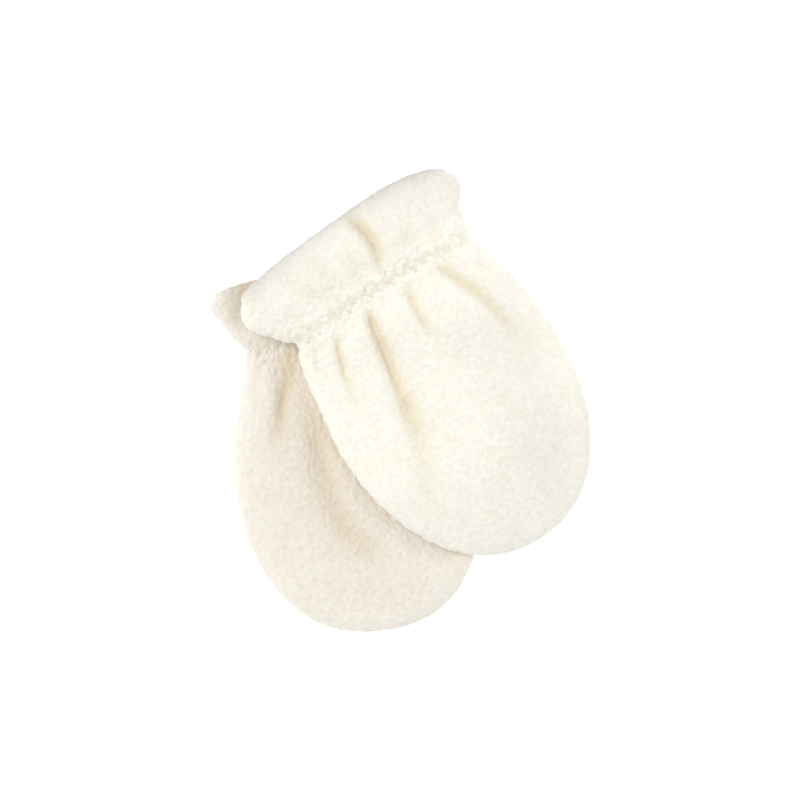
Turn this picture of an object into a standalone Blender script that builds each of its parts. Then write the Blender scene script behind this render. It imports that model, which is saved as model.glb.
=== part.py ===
"""A pair of elasticated baby mittens in cream fleece, lying flat, one across the other.

Each mitten is two panels cut from one pattern: a back panel underneath and a front panel on top.
A panel is one thick cloth wall. It runs from the fingertips past the gathered wrist to the cuff's
top edge, where a hem is turned inside and comes back down to the wrist.

A panel is set out in its mitten's own plane: x across, +y towards the cuff, the fingertips at -y
and the stitched wrist at y = 0. Rows cross the panel from side seam to side seam between the cuff
and the palm, and a fan of rays fills the rounded fingertips. The upper mitten's panels are then
lifted by the height of what they lie on.

Tables and the constants next to them are in millimetres. Meshes are in metres, +Z up.
"""
import math

import bmesh
import bpy
import numpy as np

MM = 0.001

# ---- driving dimensions (mm) ----
PALM_Y = -38.0           # widest place of the hand, where the rounded fingertips start
SPINE_X = 0.3            # middle line of a panel
SEAM_GAP = 0.3           # between front and back panel along the side seam
PLY_GAP = 0.3            # between the outer cloth and the hem turned inside it
HEM_END_Y = 1.2          # where the hem's raw edge ends, under the zigzag stitching
CROWN_REACH = 20.0       # how far in from the seam the panel goes on rising
RELIEF_REACH = 7.0       # folds die out over this distance from the side seam
ROW_BOW_POWER = 3.0      # how late a bowed row drops towards the side seam
CUFF_START_Y = 4.0       # above it the plies of the cuff stop following the bowed rows
CUFF_STRAIGHT_REACH = 7.0   # and over this distance come to point straight aside
LIE_GAP = 0.5            # between the lower mitten and the upper one
DRAPE_OUT = 30.0         # the upper mitten comes down over this distance outside the lower one
DRAPE_IN = 2.0           # and is at full height this far inside its edge
PRESS_OUT = 9.0          # the lower mitten starts to sink this far outside the upper one
PRESS_IN = 5.0           # and is pressed down fully this far inside its edge

# Where each mitten lies, and how it is turned about its wrist's middle point. Its fingertips are
# half a superellipse: a power of 2 would be an ellipse, and more is squarer.
MITTENS = (
    # name     wrist x  wrist y  turn (degrees)  tip length  left tip power  right tip power
    ("lower",  -17.25,  18.23,    5.0,            55.0,       2.15,           2.50),
    ("upper",   -5.41,  34.71,   32.5,            55.9,       2.12,           2.16),
)

# Plan outline from the hem to the palm. A row bows from its middle to the side seams, and skew
# raises its right half and lowers its left half.
OUTLINES = {
    "upper": (
        # middle y  left y  right y  skew  left x  right x
        (25.8,      21.0,   21.9,    2.5,  -40.2,  37.8),
        (22.5,      18.4,   18.6,    2.2,  -42.2,  40.0),
        (17.6,      14.4,   14.0,    1.6,  -43.0,  38.7),
        (12.4,      10.4,    9.8,    1.0,  -41.4,  35.4),
        (8.2,        6.8,    6.4,    0.5,  -37.8,  34.9),
        (4.6,        3.2,    3.0,    0.2,  -35.0,  33.8),
        (1.6,        0.0,    0.0,    0.0,  -32.4,  32.7),
        (-1.9,      -3.4,   -3.4,    0.0,  -34.2,  34.4),
        (-6.0,      -7.2,   -7.2,    0.0,  -35.4,  35.6),
        (-12.6,    -13.0,  -13.0,    0.0,  -36.6,  37.1),
        (-20.0,    -20.0,  -20.0,    0.0,  -37.6,  38.5),
        (-29.0,    -29.0,  -29.0,    0.0,  -38.9,  39.8),
        (PALM_Y,  PALM_Y,  PALM_Y,   0.0,  -39.7,  40.3),
    ),
    "lower": (
        # middle y  left y  right y  skew  left x  right x
        (22.8,      17.9,   17.3,    0.9,  -41.5,  40.0),
        (19.8,      15.8,   15.2,    0.8,  -43.1,  41.2),
        (15.8,      12.8,   12.6,    0.6,  -41.7,  39.8),
        (11.8,       9.8,    9.6,    0.4,  -39.6,  37.6),
        (8.0,        6.6,    6.4,    0.2,  -37.5,  36.0),
        (4.4,        3.0,    2.8,    0.0,  -34.4,  34.4),
        (1.4,        0.0,    0.0,    0.0,  -32.6,  32.7),
        (-2.0,      -3.4,   -3.4,    0.0,  -33.4,  34.0),
        (-6.0,      -7.2,   -7.2,    0.0,  -34.4,  35.2),
        (-12.6,    -13.0,  -13.0,    0.0,  -35.8,  37.0),
        (-20.0,    -20.0,  -20.0,    0.0,  -37.4,  38.4),
        (-29.0,    -29.0,  -29.0,    0.0,  -39.2,  39.6),
        (PALM_Y,  PALM_Y,  PALM_Y,   0.0,  -40.0,  40.2),
    ),
}

# Thickness along the hand. Height is the front panel's top above what the mitten lies on, crown is
# the slow rise in it, seam is the side seam's height and rim is the radius of the rounded side.
# Give is how far the front panel's crown sinks under a mitten that lies on it.
THICKNESSES = {
    "upper": (
        # y     height  crown  seam  rim  wall  give
        (-94.0,   8.1,   1.2,  3.5,  4.6,  2.2,  0.0),
        (-60.0,   9.1,   2.0,  3.7,  5.2,  2.2,  0.0),
        (-12.0,   8.9,   1.8,  3.7,  5.4,  2.2,  0.0),
        (-4.0,    8.0,   0.8,  3.7,  4.9,  2.0,  0.0),
        (0.6,     7.6,   0.0,  3.8,  3.8,  1.6,  0.0),
        (4.0,     8.6,   0.0,  4.3,  4.3,  1.8,  0.0),
        (9.0,     9.8,   0.0,  4.9,  4.9,  1.9,  0.0),
        (15.0,   10.6,   0.0,  5.3,  5.3,  1.9,  0.0),
        (30.0,   10.6,   0.0,  5.3,  5.3,  1.9,  0.0),
    ),
    "lower": (
        # y     height  crown  seam  rim  wall  give
        (-94.0,   8.2,   1.4,  3.5,  4.6,  2.2,  2.4),
        (-60.0,   9.3,   2.2,  3.7,  5.2,  2.2,  3.4),
        (-12.0,   9.1,   2.0,  3.7,  5.2,  2.2,  3.2),
        (-4.0,    8.1,   0.9,  3.7,  4.9,  2.0,  1.6),
        (0.6,     7.6,   0.0,  3.8,  3.8,  1.6,  0.0),
        (4.0,     8.4,   0.0,  4.2,  4.2,  1.8,  0.2),
        (9.0,     9.5,   0.0,  4.8,  4.8,  1.8,  0.4),
        (15.0,   10.2,   0.0,  5.1,  5.1,  1.8,  0.6),
        (30.0,   10.2,   0.0,  5.1,  5.1,  1.8,  0.6),
    ),
}

# Gathers that start at the stitched wrist, and the cuff's creases. Depth is down into the cloth,
# a ridge has a negative one. Sigma is half the fold's width at about two thirds of its depth.
FOLDS = {
    "upper_front": (
        # start x  y      middle x  y      end x  y      depth  sigma
        (-19.3,   -3.0,   -24.2,  -15.0,  -26.2, -33.0,   1.3,   1.9),
        (-7.4,    -2.6,   -11.0,  -22.0,  -18.0, -60.0,   2.3,   2.6),
        (-11.5,  -30.0,   -16.3,  -48.0,  -31.0, -78.0,   1.1,   4.0),
        (-4.4,    -4.0,    -8.0,  -22.0,  -13.0, -58.0,   0.7,   6.0),
        (7.7,     -2.4,     6.4,  -11.0,    6.6, -26.0,   1.1,   2.2),
        (18.4,    -2.0,    24.8,  -15.5,   27.5, -50.0,   2.1,   2.6),
        (-28.0,   -2.0,   -30.2,   -8.0,  -31.4, -17.0,   0.9,   1.7),
        (27.4,    -2.4,    29.6,   -7.0,   31.2, -14.0,   0.8,   1.7),
        (13.0,    -2.0,    15.0,   -7.0,   17.4, -15.0,   0.6,   1.6),
        (-14.0,   -2.6,   -17.0,  -14.0,  -19.0, -34.0,  -0.6,   2.4),
        (0.6,     -2.6,    -1.0,  -20.0,   -0.6, -62.0,  -0.7,   5.0),
        (13.4,    -4.0,    16.4,  -17.0,   18.6, -36.0,  -0.6,   3.4),
        (1.2,     31.0,     5.8,   17.0,    3.4,   3.0,   1.8,   2.2),
        (-4.4,    20.0,    -3.4,   13.0,   -6.0,   4.6,   0.8,   2.8),
        (-14.0,   24.0,   -12.6,   14.0,  -14.4,   4.0,   0.6,   3.0),
        (-21.0,   17.0,   -19.5,    9.0,  -18.4,   3.6,   0.7,   2.0),
        (-30.0,   14.0,   -28.5,    8.0,  -26.6,   3.6,   0.7,   2.0),
        (15.4,    18.0,    15.0,    9.0,   14.0,   4.0,   0.7,   2.2),
        (25.8,    16.0,    25.0,    8.0,   23.8,   3.6,   0.7,   2.0),
        (34.6,    12.6,    33.0,    9.8,   30.0,   8.6,   0.8,   1.6),
    ),
    "lower_front": (
        # start x  y      middle x  y      end x  y      depth  sigma
        (-17.6,    1.0,   -20.8,  -13.0,  -27.4, -42.0,   2.5,   2.8),
        (-27.4,   -2.0,   -29.6,   -8.0,  -31.0, -18.0,   0.8,   1.7),
        (-6.0,    -2.4,    -8.0,  -10.0,   -9.6, -22.0,   1.1,   2.2),
        (6.4,     -2.4,     7.2,  -12.0,    7.6, -26.0,   1.2,   2.3),
        (18.0,    -2.4,    21.0,  -12.0,   23.6, -28.0,   1.2,   2.3),
        (28.0,    -2.0,    30.2,   -8.0,   31.6, -16.0,   0.8,   1.7),
        (-26.0,   29.0,   -31.4,   18.0,  -35.0,   6.0,   1.4,   3.2),
        (-12.0,   22.0,   -11.0,   12.0,  -11.4,   4.0,   0.7,   2.2),
        (4.0,     20.0,     5.0,   11.0,    4.4,   4.0,   0.7,   2.2),
        (19.0,    22.0,    19.6,   12.0,   18.2,   4.0,   0.7,   2.0),
    ),
    "upper_back": (
        # start x  y      middle x  y      end x  y      depth  sigma
        (-15.0,   -2.0,   -17.6,  -10.0,  -19.0, -22.0,   0.8,   2.0),
        (0.6,     -2.0,     0.0,  -12.0,   -2.0, -28.0,   0.8,   2.4),
        (12.6,    -2.0,    15.0,  -10.0,   17.0, -22.0,   0.8,   2.0),
        (-24.6,   -2.0,   -28.4,   -9.0,  -30.4, -18.0,   0.4,   1.8),
        (26.0,    -2.0,    29.6,   -9.0,   31.8, -18.0,   0.5,   1.8),
        (-12.0,   18.0,   -12.6,   10.0,  -13.0,   4.0,   0.6,   2.0),
        (20.0,    18.0,    19.4,   10.0,   19.0,   4.0,   0.6,   2.0),
    ),
    "lower_back": (
        # start x  y      middle x  y      end x  y      depth  sigma
        (-12.0,   -2.0,   -14.6,  -12.0,  -16.0, -27.0,   0.8,   2.2),
        (0.0,     -2.0,     0.0,  -10.0,   -1.0, -22.0,   0.8,   2.2),
        (12.0,    -2.0,    14.4,  -11.0,   15.6, -24.0,   0.8,   2.2),
        (24.0,    -2.0,    26.4,   -9.0,   28.0, -18.0,   0.5,   1.8),
        (-19.4,   18.0,   -19.0,   10.0,  -18.4,   4.0,   0.5,   2.0),
        (-3.6,    18.0,    -3.0,   11.0,   -3.4,   4.0,   0.5,   2.0),
        (12.0,    18.0,    12.4,   10.0,   11.6,   4.0,   0.5,   2.0),
    ),
}
FOLD_START = 3.0         # a fold reaches its depth over this distance from its start
FOLD_FADE = 0.5          # and loses it over this share of its length at its end

# Long curved valleys in the hand: four points (x, y) on the line, depth and sigma.
VALLEYS = {
    "lower_front": (
        (((-12.4, -9.0), (-10.6, -36.0), (-3.6, -60.5), (17.0, -71.5)), 1.6, 3.8),
        (((-14.0, -12.0), (-13.0, -38.0), (-5.0, -60.0), (14.0, -72.0)), 1.3, 8.0),
    ),
}
VALLEY_FADE = 0.30       # a valley fades over this share of its length at both ends
VALLEY_STEPS = 60        # points that its line is measured at

# How finely each panel is divided. Both panels of a mitten share their rows and rays, so that
# their side seams match.
DIVISIONS = {
    #               row length  columns (half)  rim columns  fan rays  hem turn
    "lower_back":  (4.6,        5,              3,           16,       3),
    "lower_front": (4.6,        9,              3,           16,       3),
    "upper_back":  (3.8,        7,              3,           18,       3),
    "upper_front": (3.8,        13,             3,           18,       3),
}

FLEECE = {"name": "cream fleece", "color": (0.93, 0.90, 0.79, 1.0), "roughness": 0.95}


# ---- helpers on tables ----

def monotone_curve(known_x, known_y, x):
    """Smooth curve through table rows that doesn't overshoot them (known_x rises)."""
    known_x = np.asarray(known_x, float)
    known_y = np.asarray(known_y, float)
    step = np.diff(known_x)
    secant = np.diff(known_y) / step
    slope = np.zeros(len(known_x))
    rising = secant[:-1] * secant[1:] > 0
    pair_sum = np.where(rising, secant[:-1] + secant[1:], 1.0)
    slope[1:-1] = np.where(rising, 2 * secant[:-1] * secant[1:] / pair_sum, 0.0)
    slope[0] = secant[0]
    slope[-1] = secant[-1]
    x = np.clip(x, known_x[0], known_x[-1])
    i = np.clip(np.searchsorted(known_x, x, side="right") - 1, 0, len(step) - 1)
    t = (x - known_x[i]) / step[i]
    from_left = known_y[i] + t * step[i] * slope[i]
    from_right = known_y[i + 1] - (1 - t) * step[i] * slope[i + 1]
    blend = smooth(t)
    return from_left * (1 - blend) + from_right * blend


def smooth(t):
    """0 to 1 with level ends."""
    t = np.clip(t, 0.0, 1.0)
    return t * t * (3 - 2 * t)


def ease(t):
    """0 to 1 with level and unbent ends, for slopes that show no line where they start."""
    t = np.clip(t, 0.0, 1.0)
    return t ** 3 * (t * (6 * t - 15) + 10)


def crown_share(seam_distance):
    """How much of its slow rise a panel has this far in from the seam, steepest at the seam."""
    return 1 - (1 - np.clip(seam_distance / CROWN_REACH, 0, 1)) ** 2


def thickness(mitten, y):
    """Height, crown, seam, rim, wall and give of a mitten at y."""
    columns = np.array(THICKNESSES[mitten]).T
    return [monotone_curve(columns[0], column, y) for column in columns[1:]]


def row_numbers(mitten, row_length):
    """Fractional rows of the outline table, from the hem to the palm, about row_length apart."""
    table = np.array(OUTLINES[mitten])
    numbers = [0.0]
    for i, stretch in enumerate(-np.diff(table[:, 0])):
        parts = max(1, round(stretch / row_length))
        numbers += [i + (k + 1) / parts for k in range(parts)]
    return np.array(numbers)


def outline_at(mitten, numbers):
    """Middle y, left y, right y, skew, left x and right x at fractional rows of the table."""
    table = np.array(OUTLINES[mitten])
    return [monotone_curve(np.arange(len(table)), column, numbers) for column in table.T]


# ---- one panel in its mitten's plane ----

def half_lines(mitten, numbers, rays, tip):
    """Lines from the side seam to the spine: left rows, fan rays and right rows.

    Each has a rim point and a spine point in plan, and a skew. The left rows run from the hem to
    the palm, the rays round the fingertips and the right rows back from the palm to the hem.
    """
    middle_y, left_y, right_y, skew, left_x, right_x = outline_at(mitten, numbers)
    spine = np.stack([np.full_like(middle_y, SPINE_X), middle_y], axis=1)
    left = np.stack([left_x, left_y], axis=1)
    right = np.stack([right_x, right_y], axis=1)
    angle = np.linspace(-math.pi / 2, math.pi / 2, rays + 1)[1:-1]
    power = np.where(angle < 0, tip["left power"], tip["right power"])
    reach = np.abs(np.cos(angle)) ** (2 / power)
    aside = np.sign(angle) * np.abs(np.sin(angle)) ** (2 / power)
    half_width = np.where(angle < 0, SPINE_X - left_x[-1], right_x[-1] - SPINE_X)
    fingertips = np.stack([SPINE_X + aside * half_width, PALM_Y - tip["length"] * reach], axis=1)
    pole = np.repeat(spine[-1:], len(angle), axis=0)
    return (np.concatenate([left, fingertips, right[::-1]]),
            np.concatenate([spine, pole, spine[::-1]]),
            np.concatenate([-skew, np.zeros(len(angle)), skew[::-1]]))


def wall_directions(rim, spine, skew):
    """Unit vectors in plan that point out of the wall at each rim point: along the rows at the
    wrist and straight aside at the hem, so that the ply inside the cuff doesn't cross itself, and
    square to the outline round the fingertips."""
    to_rim = rim - spine
    bowed = 1 - smooth((rim[:, 1] - CUFF_START_Y) / CUFF_STRAIGHT_REACH)
    ahead = np.stack([to_rim[:, 0], bowed * (ROW_BOW_POWER * to_rim[:, 1] - 2 * skew)], axis=1)
    along = np.gradient(rim, axis=0)
    square = np.stack([along[:, 1], -along[:, 0]], axis=1)
    out = np.where(spine[:, 1:] == PALM_Y, square, ahead)
    return out / np.linalg.norm(out, axis=1, keepdims=True)


def fold_relief(panel, x, y):
    """How far the folds bring the cloth down at plan points."""
    relief = np.zeros_like(x)
    for start_x, start_y, middle_x, middle_y, end_x, end_y, depth, sigma in FOLDS[panel]:
        # the fold's line is the parabola through its three points
        along = np.clip(y, end_y, start_y)
        line = (start_x * (along - middle_y) * (along - end_y)
                / ((start_y - middle_y) * (start_y - end_y))
                + middle_x * (along - start_y) * (along - end_y)
                / ((middle_y - start_y) * (middle_y - end_y))
                + end_x * (along - start_y) * (along - middle_y)
                / ((end_y - start_y) * (end_y - middle_y)))
        grown = smooth((start_y - y) / FOLD_START)
        left_over = smooth((y - end_y) / (FOLD_FADE * (start_y - end_y)))
        relief += depth * grown * left_over * np.exp(-((x - line) / sigma) ** 2)
    return relief


def valley_relief(panel, x, y):
    """How far the long curved valleys bring the cloth down at plan points."""
    relief = np.zeros_like(x)
    for points, depth, sigma in VALLEYS.get(panel, ()):
        points = np.array(points)
        run = np.concatenate([[0], np.linalg.norm(np.diff(points, axis=0), axis=1).cumsum()])
        share = np.linspace(0, 1, VALLEY_STEPS)
        # a cubic through the valley's four points
        line = [np.polyval(np.polyfit(run / run[-1], column, 3), share) for column in points.T]
        distance = np.hypot(x[..., None] - line[0], y[..., None] - line[1])
        along = share[distance.argmin(axis=-1)]
        grown = smooth(along / VALLEY_FADE) * smooth((1 - along) / VALLEY_FADE)
        relief += depth * grown * np.exp(-(distance.min(axis=-1) / sigma) ** 2)
    return relief


def panel_surface(mitten, side, plan_lines, columns, rim_columns):
    """Outer face of a panel on its grid of lines and columns, with the normals of its wall.

    side is 1 for a front panel and -1 for a back panel. Column 0 is the side seam and the last
    column is the spine.
    """
    rim, spine, skew = plan_lines
    width = np.linalg.norm(rim - spine, axis=1)
    rim_radius = thickness(mitten, rim[:, 1])[3]
    turn = np.concatenate([np.linspace(0, math.pi / 2, rim_columns + 1),
                           np.full(columns, math.pi / 2)])
    inset = rim_radius[:, None] * (1 - np.cos(turn))[None, :]
    share = 1 - inset / width[:, None]
    flat = np.linspace(0, 1, columns + 1)[1:]
    share[:, rim_columns + 1:] = share[:, rim_columns, None] * (1 - flat)
    is_ray = spine[:, 1] == PALM_Y
    share_y = np.where(is_ray[:, None], share, share ** ROW_BOW_POWER)
    x = spine[:, None, 0] + (rim - spine)[:, None, 0] * share
    y = spine[:, None, 1] + (rim - spine)[:, None, 1] * share_y
    y += skew[:, None] * share * (1 - share ** 2)

    height, crown, seam, rim_radius, wall, _ = thickness(mitten, y)
    from_seam = (1 - share) * width[:, None]
    rise = height - crown - seam if side > 0 else seam
    slow_rise = crown * crown_share(from_seam) if side > 0 else 0.0
    sin = np.sin(turn)[None, :]
    lift = rise * sin + slow_rise
    # the underside that rests is exactly flat
    z = seam + lift if side > 0 else seam * (1 - sin)
    out = wall_directions(rim, spine, skew)
    level = (rise / rim_radius) * np.cos(turn)[None, :]
    normal = np.stack([out[:, None, 0] * level, out[:, None, 1] * level,
                       side * sin * np.ones_like(level)], axis=2)
    normal /= np.linalg.norm(normal, axis=2, keepdims=True)
    z = z + np.where(sin == 0.0, side * SEAM_GAP / 2, 0.0)
    return np.stack([x, y, z], axis=2), normal, wall, from_seam


def joined(left, right):
    """A full row from its left and right half lines, which meet at the spine."""
    return np.concatenate([left, right[-2::-1]])


def panel_skins(panel, tip, pressed):
    """The two faces of a panel's cloth: a list of rows each, from the hem's raw edge to the palm,
    and the rays of its fan. Both faces have the same layout, and a row runs from left to right."""
    mitten, which = panel.split("_")
    side = 1 if which == "front" else -1
    row_length, columns, rim_columns, rays, turns = DIVISIONS[panel]
    numbers = row_numbers(mitten, row_length)
    lines = half_lines(mitten, numbers, rays, tip)
    outer, normal, wall, from_seam = panel_surface(mitten, side, lines, columns, rim_columns)
    count = len(numbers)

    def folded(points, seam_distance):
        """Folds and a load move every layer of the cloth together, and fade at the side seam."""
        points = points.copy()
        x, y = points[..., 0], points[..., 1]
        down = side * (fold_relief(panel, x, y) + valley_relief(panel, x, y))
        if side > 0:
            _, crown, _, _, _, give = thickness(mitten, y)
            give = give - crown * (1 - crown_share(seam_distance))
            down = down * (1 - pressed(x, y)) + pressed(x, y) * give
        points[..., 2] -= smooth(seam_distance / RELIEF_REACH) * down
        return points

    depth = {"outside": 0.0 * wall, "inside": wall,
             "hem inside": wall + PLY_GAP, "hem outside": 2 * wall + PLY_GAP}
    layers = {name: folded(outer - d[..., None] * normal, from_seam) for name, d in depth.items()}
    rows = {name: [joined(layer[i], layer[-1 - i]) for i in range(count)]
            for name, layer in layers.items()}

    # the hem turns round a half circle from the outer cloth to the ply inside it
    ends = [0, -1]
    onward = np.array([0.0, 1.0, 0.0]) - normal[ends, :, 1, None] * normal[ends]
    onward /= np.linalg.norm(onward, axis=2, keepdims=True)
    turn_radius = (wall[ends] + PLY_GAP / 2)[..., None]
    centre = outer[ends] - turn_radius * normal[ends]
    turned = {"outside": [], "inside": []}
    for step in range(turns, 0, -1):
        angle = math.pi * step / (turns + 1)
        arm = math.cos(angle) * normal[ends] + math.sin(angle) * onward
        for name, radius in (("outside", turn_radius), ("inside", PLY_GAP / 2)):
            turned[name].append(joined(*folded(centre + radius * arm, from_seam[ends])))

    middle_y = lines[1][:count, 1]
    hem_rows = [i for i in range(count) if middle_y[i] > HEM_END_Y]
    fan = slice(count, len(outer) - count)
    skins = []
    for name in ("outside", "inside"):
        hem = [rows["hem " + name][i] for i in reversed(hem_rows)]
        skins.append((hem + turned[name] + rows[name], layers[name][fan]))
    return skins


# ---- meshes ----

def add_skin(mesh, rows, fan):
    """Faces of one skin. Returns its border in order: left side, fingertips, right side, hem."""
    grid = [[mesh.verts.new(point) for point in row] for row in rows]
    middle = len(rows[0]) // 2
    pole = grid[-1][middle]
    rays = [grid[-1][:middle]]
    rays += [[mesh.verts.new(point) for point in ray[:-1]] for ray in fan]
    rays.append(grid[-1][:middle:-1])
    for upper, lower in zip(grid, grid[1:]):
        for k in range(len(upper) - 1):
            mesh.faces.new((upper[k], lower[k], lower[k + 1], upper[k + 1]))
    for ray, following in zip(rays, rays[1:]):
        for k in range(len(ray) - 1):
            mesh.faces.new((ray[k], following[k], following[k + 1], ray[k + 1]))
        mesh.faces.new((ray[-1], following[-1], pole))
    left = [row[0] for row in grid]
    tip = [ray[0] for ray in rays[1:-1]]
    right = [row[-1] for row in reversed(grid)]
    return left + tip + right + grid[0][-2:0:-1]


def build_panel(panel, material, holder):
    """One panel's object: two skins joined round their border, lifted by the ground under it."""
    skins = [
        ([lifted(row, holder) for row in rows], [lifted(ray, holder) for ray in fan])
        for rows, fan in panel_skins(panel, holder["tip"], holder["pressed"])
    ]
    mesh = bmesh.new()
    outside, inside = [add_skin(mesh, rows, fan) for rows, fan in skins]
    for k in range(len(outside)):
        following = (k + 1) % len(outside)
        mesh.faces.new((outside[k], inside[k], inside[following], outside[following]))
    bmesh.ops.recalc_face_normals(mesh, faces=mesh.faces)
    data = bpy.data.meshes.new(panel)
    mesh.to_mesh(data)
    mesh.free()
    data.shade_smooth()
    data.set_sharp_from_angle(angle=math.radians(50))
    data.materials.append(material)
    panel_object = bpy.data.objects.new(panel + "_panel", data)
    bpy.context.collection.objects.link(panel_object)
    panel_object.parent = holder["empty"]
    return panel_object


def to_world(x, y, holder):
    """From a mitten's own plane to the plane of the pair."""
    cos, sin = math.cos(holder["turn"]), math.sin(holder["turn"])
    return holder["x"] + cos * x - sin * y, holder["y"] + sin * x + cos * y


def to_plan(world_x, world_y, holder):
    """From the plane of the pair to a mitten's own plane."""
    cos, sin = math.cos(holder["turn"]), math.sin(holder["turn"])
    x, y = world_x - holder["x"], world_y - holder["y"]
    return cos * x + sin * y, cos * y - sin * x


def lifted(points, holder):
    """Points in metres, raised by what the mitten lies on at their place in the plane."""
    points = points.copy()
    points[..., 2] += holder["ground"](*to_world(points[..., 0], points[..., 1], holder))
    return points * MM


# ---- what the upper mitten lies on ----

def border_distance(x, y, border):
    """Distance from plan points to a closed border, positive inside it."""
    shape = np.shape(x)
    x, y = np.ravel(x), np.ravel(y)
    start = border
    end = np.roll(border, -1, axis=0)
    along = end - start
    to_x = x[:, None] - start[:, 0]
    to_y = y[:, None] - start[:, 1]
    share = (to_x * along[:, 0] + to_y * along[:, 1]) / (along ** 2).sum(axis=1)
    share = np.clip(share, 0, 1)
    distance = np.hypot(to_x - share * along[:, 0], to_y - share * along[:, 1]).min(axis=1)
    crosses = (start[:, 1] > y[:, None]) != (end[:, 1] > y[:, None])
    rise = np.where(along[:, 1] == 0, 1.0, along[:, 1])
    left_of = x[:, None] < start[:, 0] + along[:, 0] * to_y / rise
    inside = (crosses & left_of).sum(axis=1) % 2 == 1
    return np.where(inside, distance, -distance).reshape(shape)


def spanned_border(mitten, tip):
    """The mitten's outline in its own plane, the turned hem included, straight past the wrist."""
    numbers = np.array([0, 1, len(OUTLINES[mitten]) - 1])
    rim, spine, skew = half_lines(mitten, numbers, DIVISIONS[mitten + "_front"][3], tip)
    hem_reach = thickness(mitten, spine[0, 1])[4] + PLY_GAP / 2
    share = np.linspace(1, -1, 13)
    end = np.where(share[:, None] > 0, rim[-1], rim[0])
    hem_x = SPINE_X + np.abs(share) * (end[:, 0] - SPINE_X)
    hem_y = spine[0, 1] + (end[:, 1] - spine[0, 1]) * np.abs(share) ** ROW_BOW_POWER
    hem_y += skew[-1] * share * (1 - share ** 2) + hem_reach
    return np.concatenate([rim, np.stack([hem_x, hem_y], axis=1)])


def table_top(x, y):
    """The flat surface that the lower mitten lies on."""
    return np.zeros_like(x)


def draped_over(lower):
    """Height of a cloth laid over the lower mitten, as a function of the pair's plane."""
    border = spanned_border("lower", lower["tip"])
    y, height, _, _, _, _, give = np.array(THICKNESSES["lower"]).T
    pressed_height = height - give + LIE_GAP
    hand_top = pressed_height[y < -1].max()
    cuff_top = pressed_height.max()

    def height_at(world_x, world_y):
        x, y = to_plan(world_x, world_y, lower)
        inward = border_distance(x, y, border)
        top = hand_top + (cuff_top - hand_top) * smooth((y + 12.0) / 18.0)
        return top * ease((inward + DRAPE_OUT) / (DRAPE_OUT + DRAPE_IN))

    return height_at


def unpressed(x, y):
    """Nothing lies on the upper mitten."""
    return np.zeros_like(x)


def pressed_under(upper, lower):
    """How much the upper mitten weighs on the lower one, 0 to 1, as a function of its plane."""
    border = spanned_border("upper", upper["tip"])

    def share_at(x, y):
        world_x, world_y = to_world(x, y, lower)
        inward = border_distance(*to_plan(world_x, world_y, upper), border)
        return ease((inward + PRESS_OUT) / (PRESS_OUT + PRESS_IN))

    return share_at


# ---- the pair ----

def fleece_material():
    material = bpy.data.materials.new(FLEECE["name"])
    material.use_nodes = True
    shader = material.node_tree.nodes["Principled BSDF"]
    shader.inputs["Base Color"].default_value = FLEECE["color"]
    shader.inputs["Roughness"].default_value = FLEECE["roughness"]
    shader.inputs["Metallic"].default_value = 0.0
    material.diffuse_color = FLEECE["color"]
    return material


def mitten_holder(name, x, y, turn, tip_length, left_power, right_power):
    """An empty at the middle of the wrist, and the sizes that go with it."""
    empty = bpy.data.objects.new(name + "_mitten", None)
    bpy.context.collection.objects.link(empty)
    empty.location = (x * MM, y * MM, 0.0)
    empty.rotation_euler = (0.0, 0.0, math.radians(turn))
    tip = {"length": tip_length, "left power": left_power, "right power": right_power}
    return {"empty": empty, "x": x, "y": y, "turn": math.radians(turn), "tip": tip}


def main():
    for leftover in list(bpy.data.objects):
        bpy.data.objects.remove(leftover)
    material = fleece_material()
    holders = {row[0]: mitten_holder(*row) for row in MITTENS}
    lower, upper = holders["lower"], holders["upper"]
    lower.update(ground=table_top, pressed=pressed_under(upper, lower))
    upper.update(ground=draped_over(lower), pressed=unpressed)
    for name, holder in holders.items():
        for which in ("back", "front"):
            build_panel(f"{name}_{which}", material, holder)


main()
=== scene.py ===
"""Looks of the pair of baby mittens: four fleece panels, their gathers, nap and zigzag stitching.

The panels are worked out with the same tables and formulas as the CAD solids, on a finer grid, and
then get what the solids leave out: small puckers at the elastic, needle dimples, the sunk side seam
and the curly nap. Some tones of the cloth are set to follow the photograph's light.

A panel is set out in its mitten's own plane, x across and +y towards the cuff, with the fingertips
at -y and the stitched wrist at y = 0. Tables and the constants next to them are in millimetres,
and meshes are in metres.
"""
import itertools
import math

import bmesh
import bpy
import numpy as np
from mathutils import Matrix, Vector

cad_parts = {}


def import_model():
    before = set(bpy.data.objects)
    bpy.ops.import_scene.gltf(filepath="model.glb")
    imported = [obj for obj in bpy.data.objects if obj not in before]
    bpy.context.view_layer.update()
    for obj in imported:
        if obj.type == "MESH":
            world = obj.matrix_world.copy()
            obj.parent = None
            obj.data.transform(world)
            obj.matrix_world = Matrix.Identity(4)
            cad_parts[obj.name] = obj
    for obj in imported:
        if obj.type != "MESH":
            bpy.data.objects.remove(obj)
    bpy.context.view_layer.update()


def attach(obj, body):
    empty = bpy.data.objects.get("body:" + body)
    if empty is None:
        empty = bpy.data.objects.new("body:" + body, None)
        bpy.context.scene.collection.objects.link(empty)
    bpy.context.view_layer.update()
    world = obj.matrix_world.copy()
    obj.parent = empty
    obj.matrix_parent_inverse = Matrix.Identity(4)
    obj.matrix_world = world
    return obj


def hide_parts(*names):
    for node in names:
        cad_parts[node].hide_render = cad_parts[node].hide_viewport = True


MM = 0.001

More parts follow.
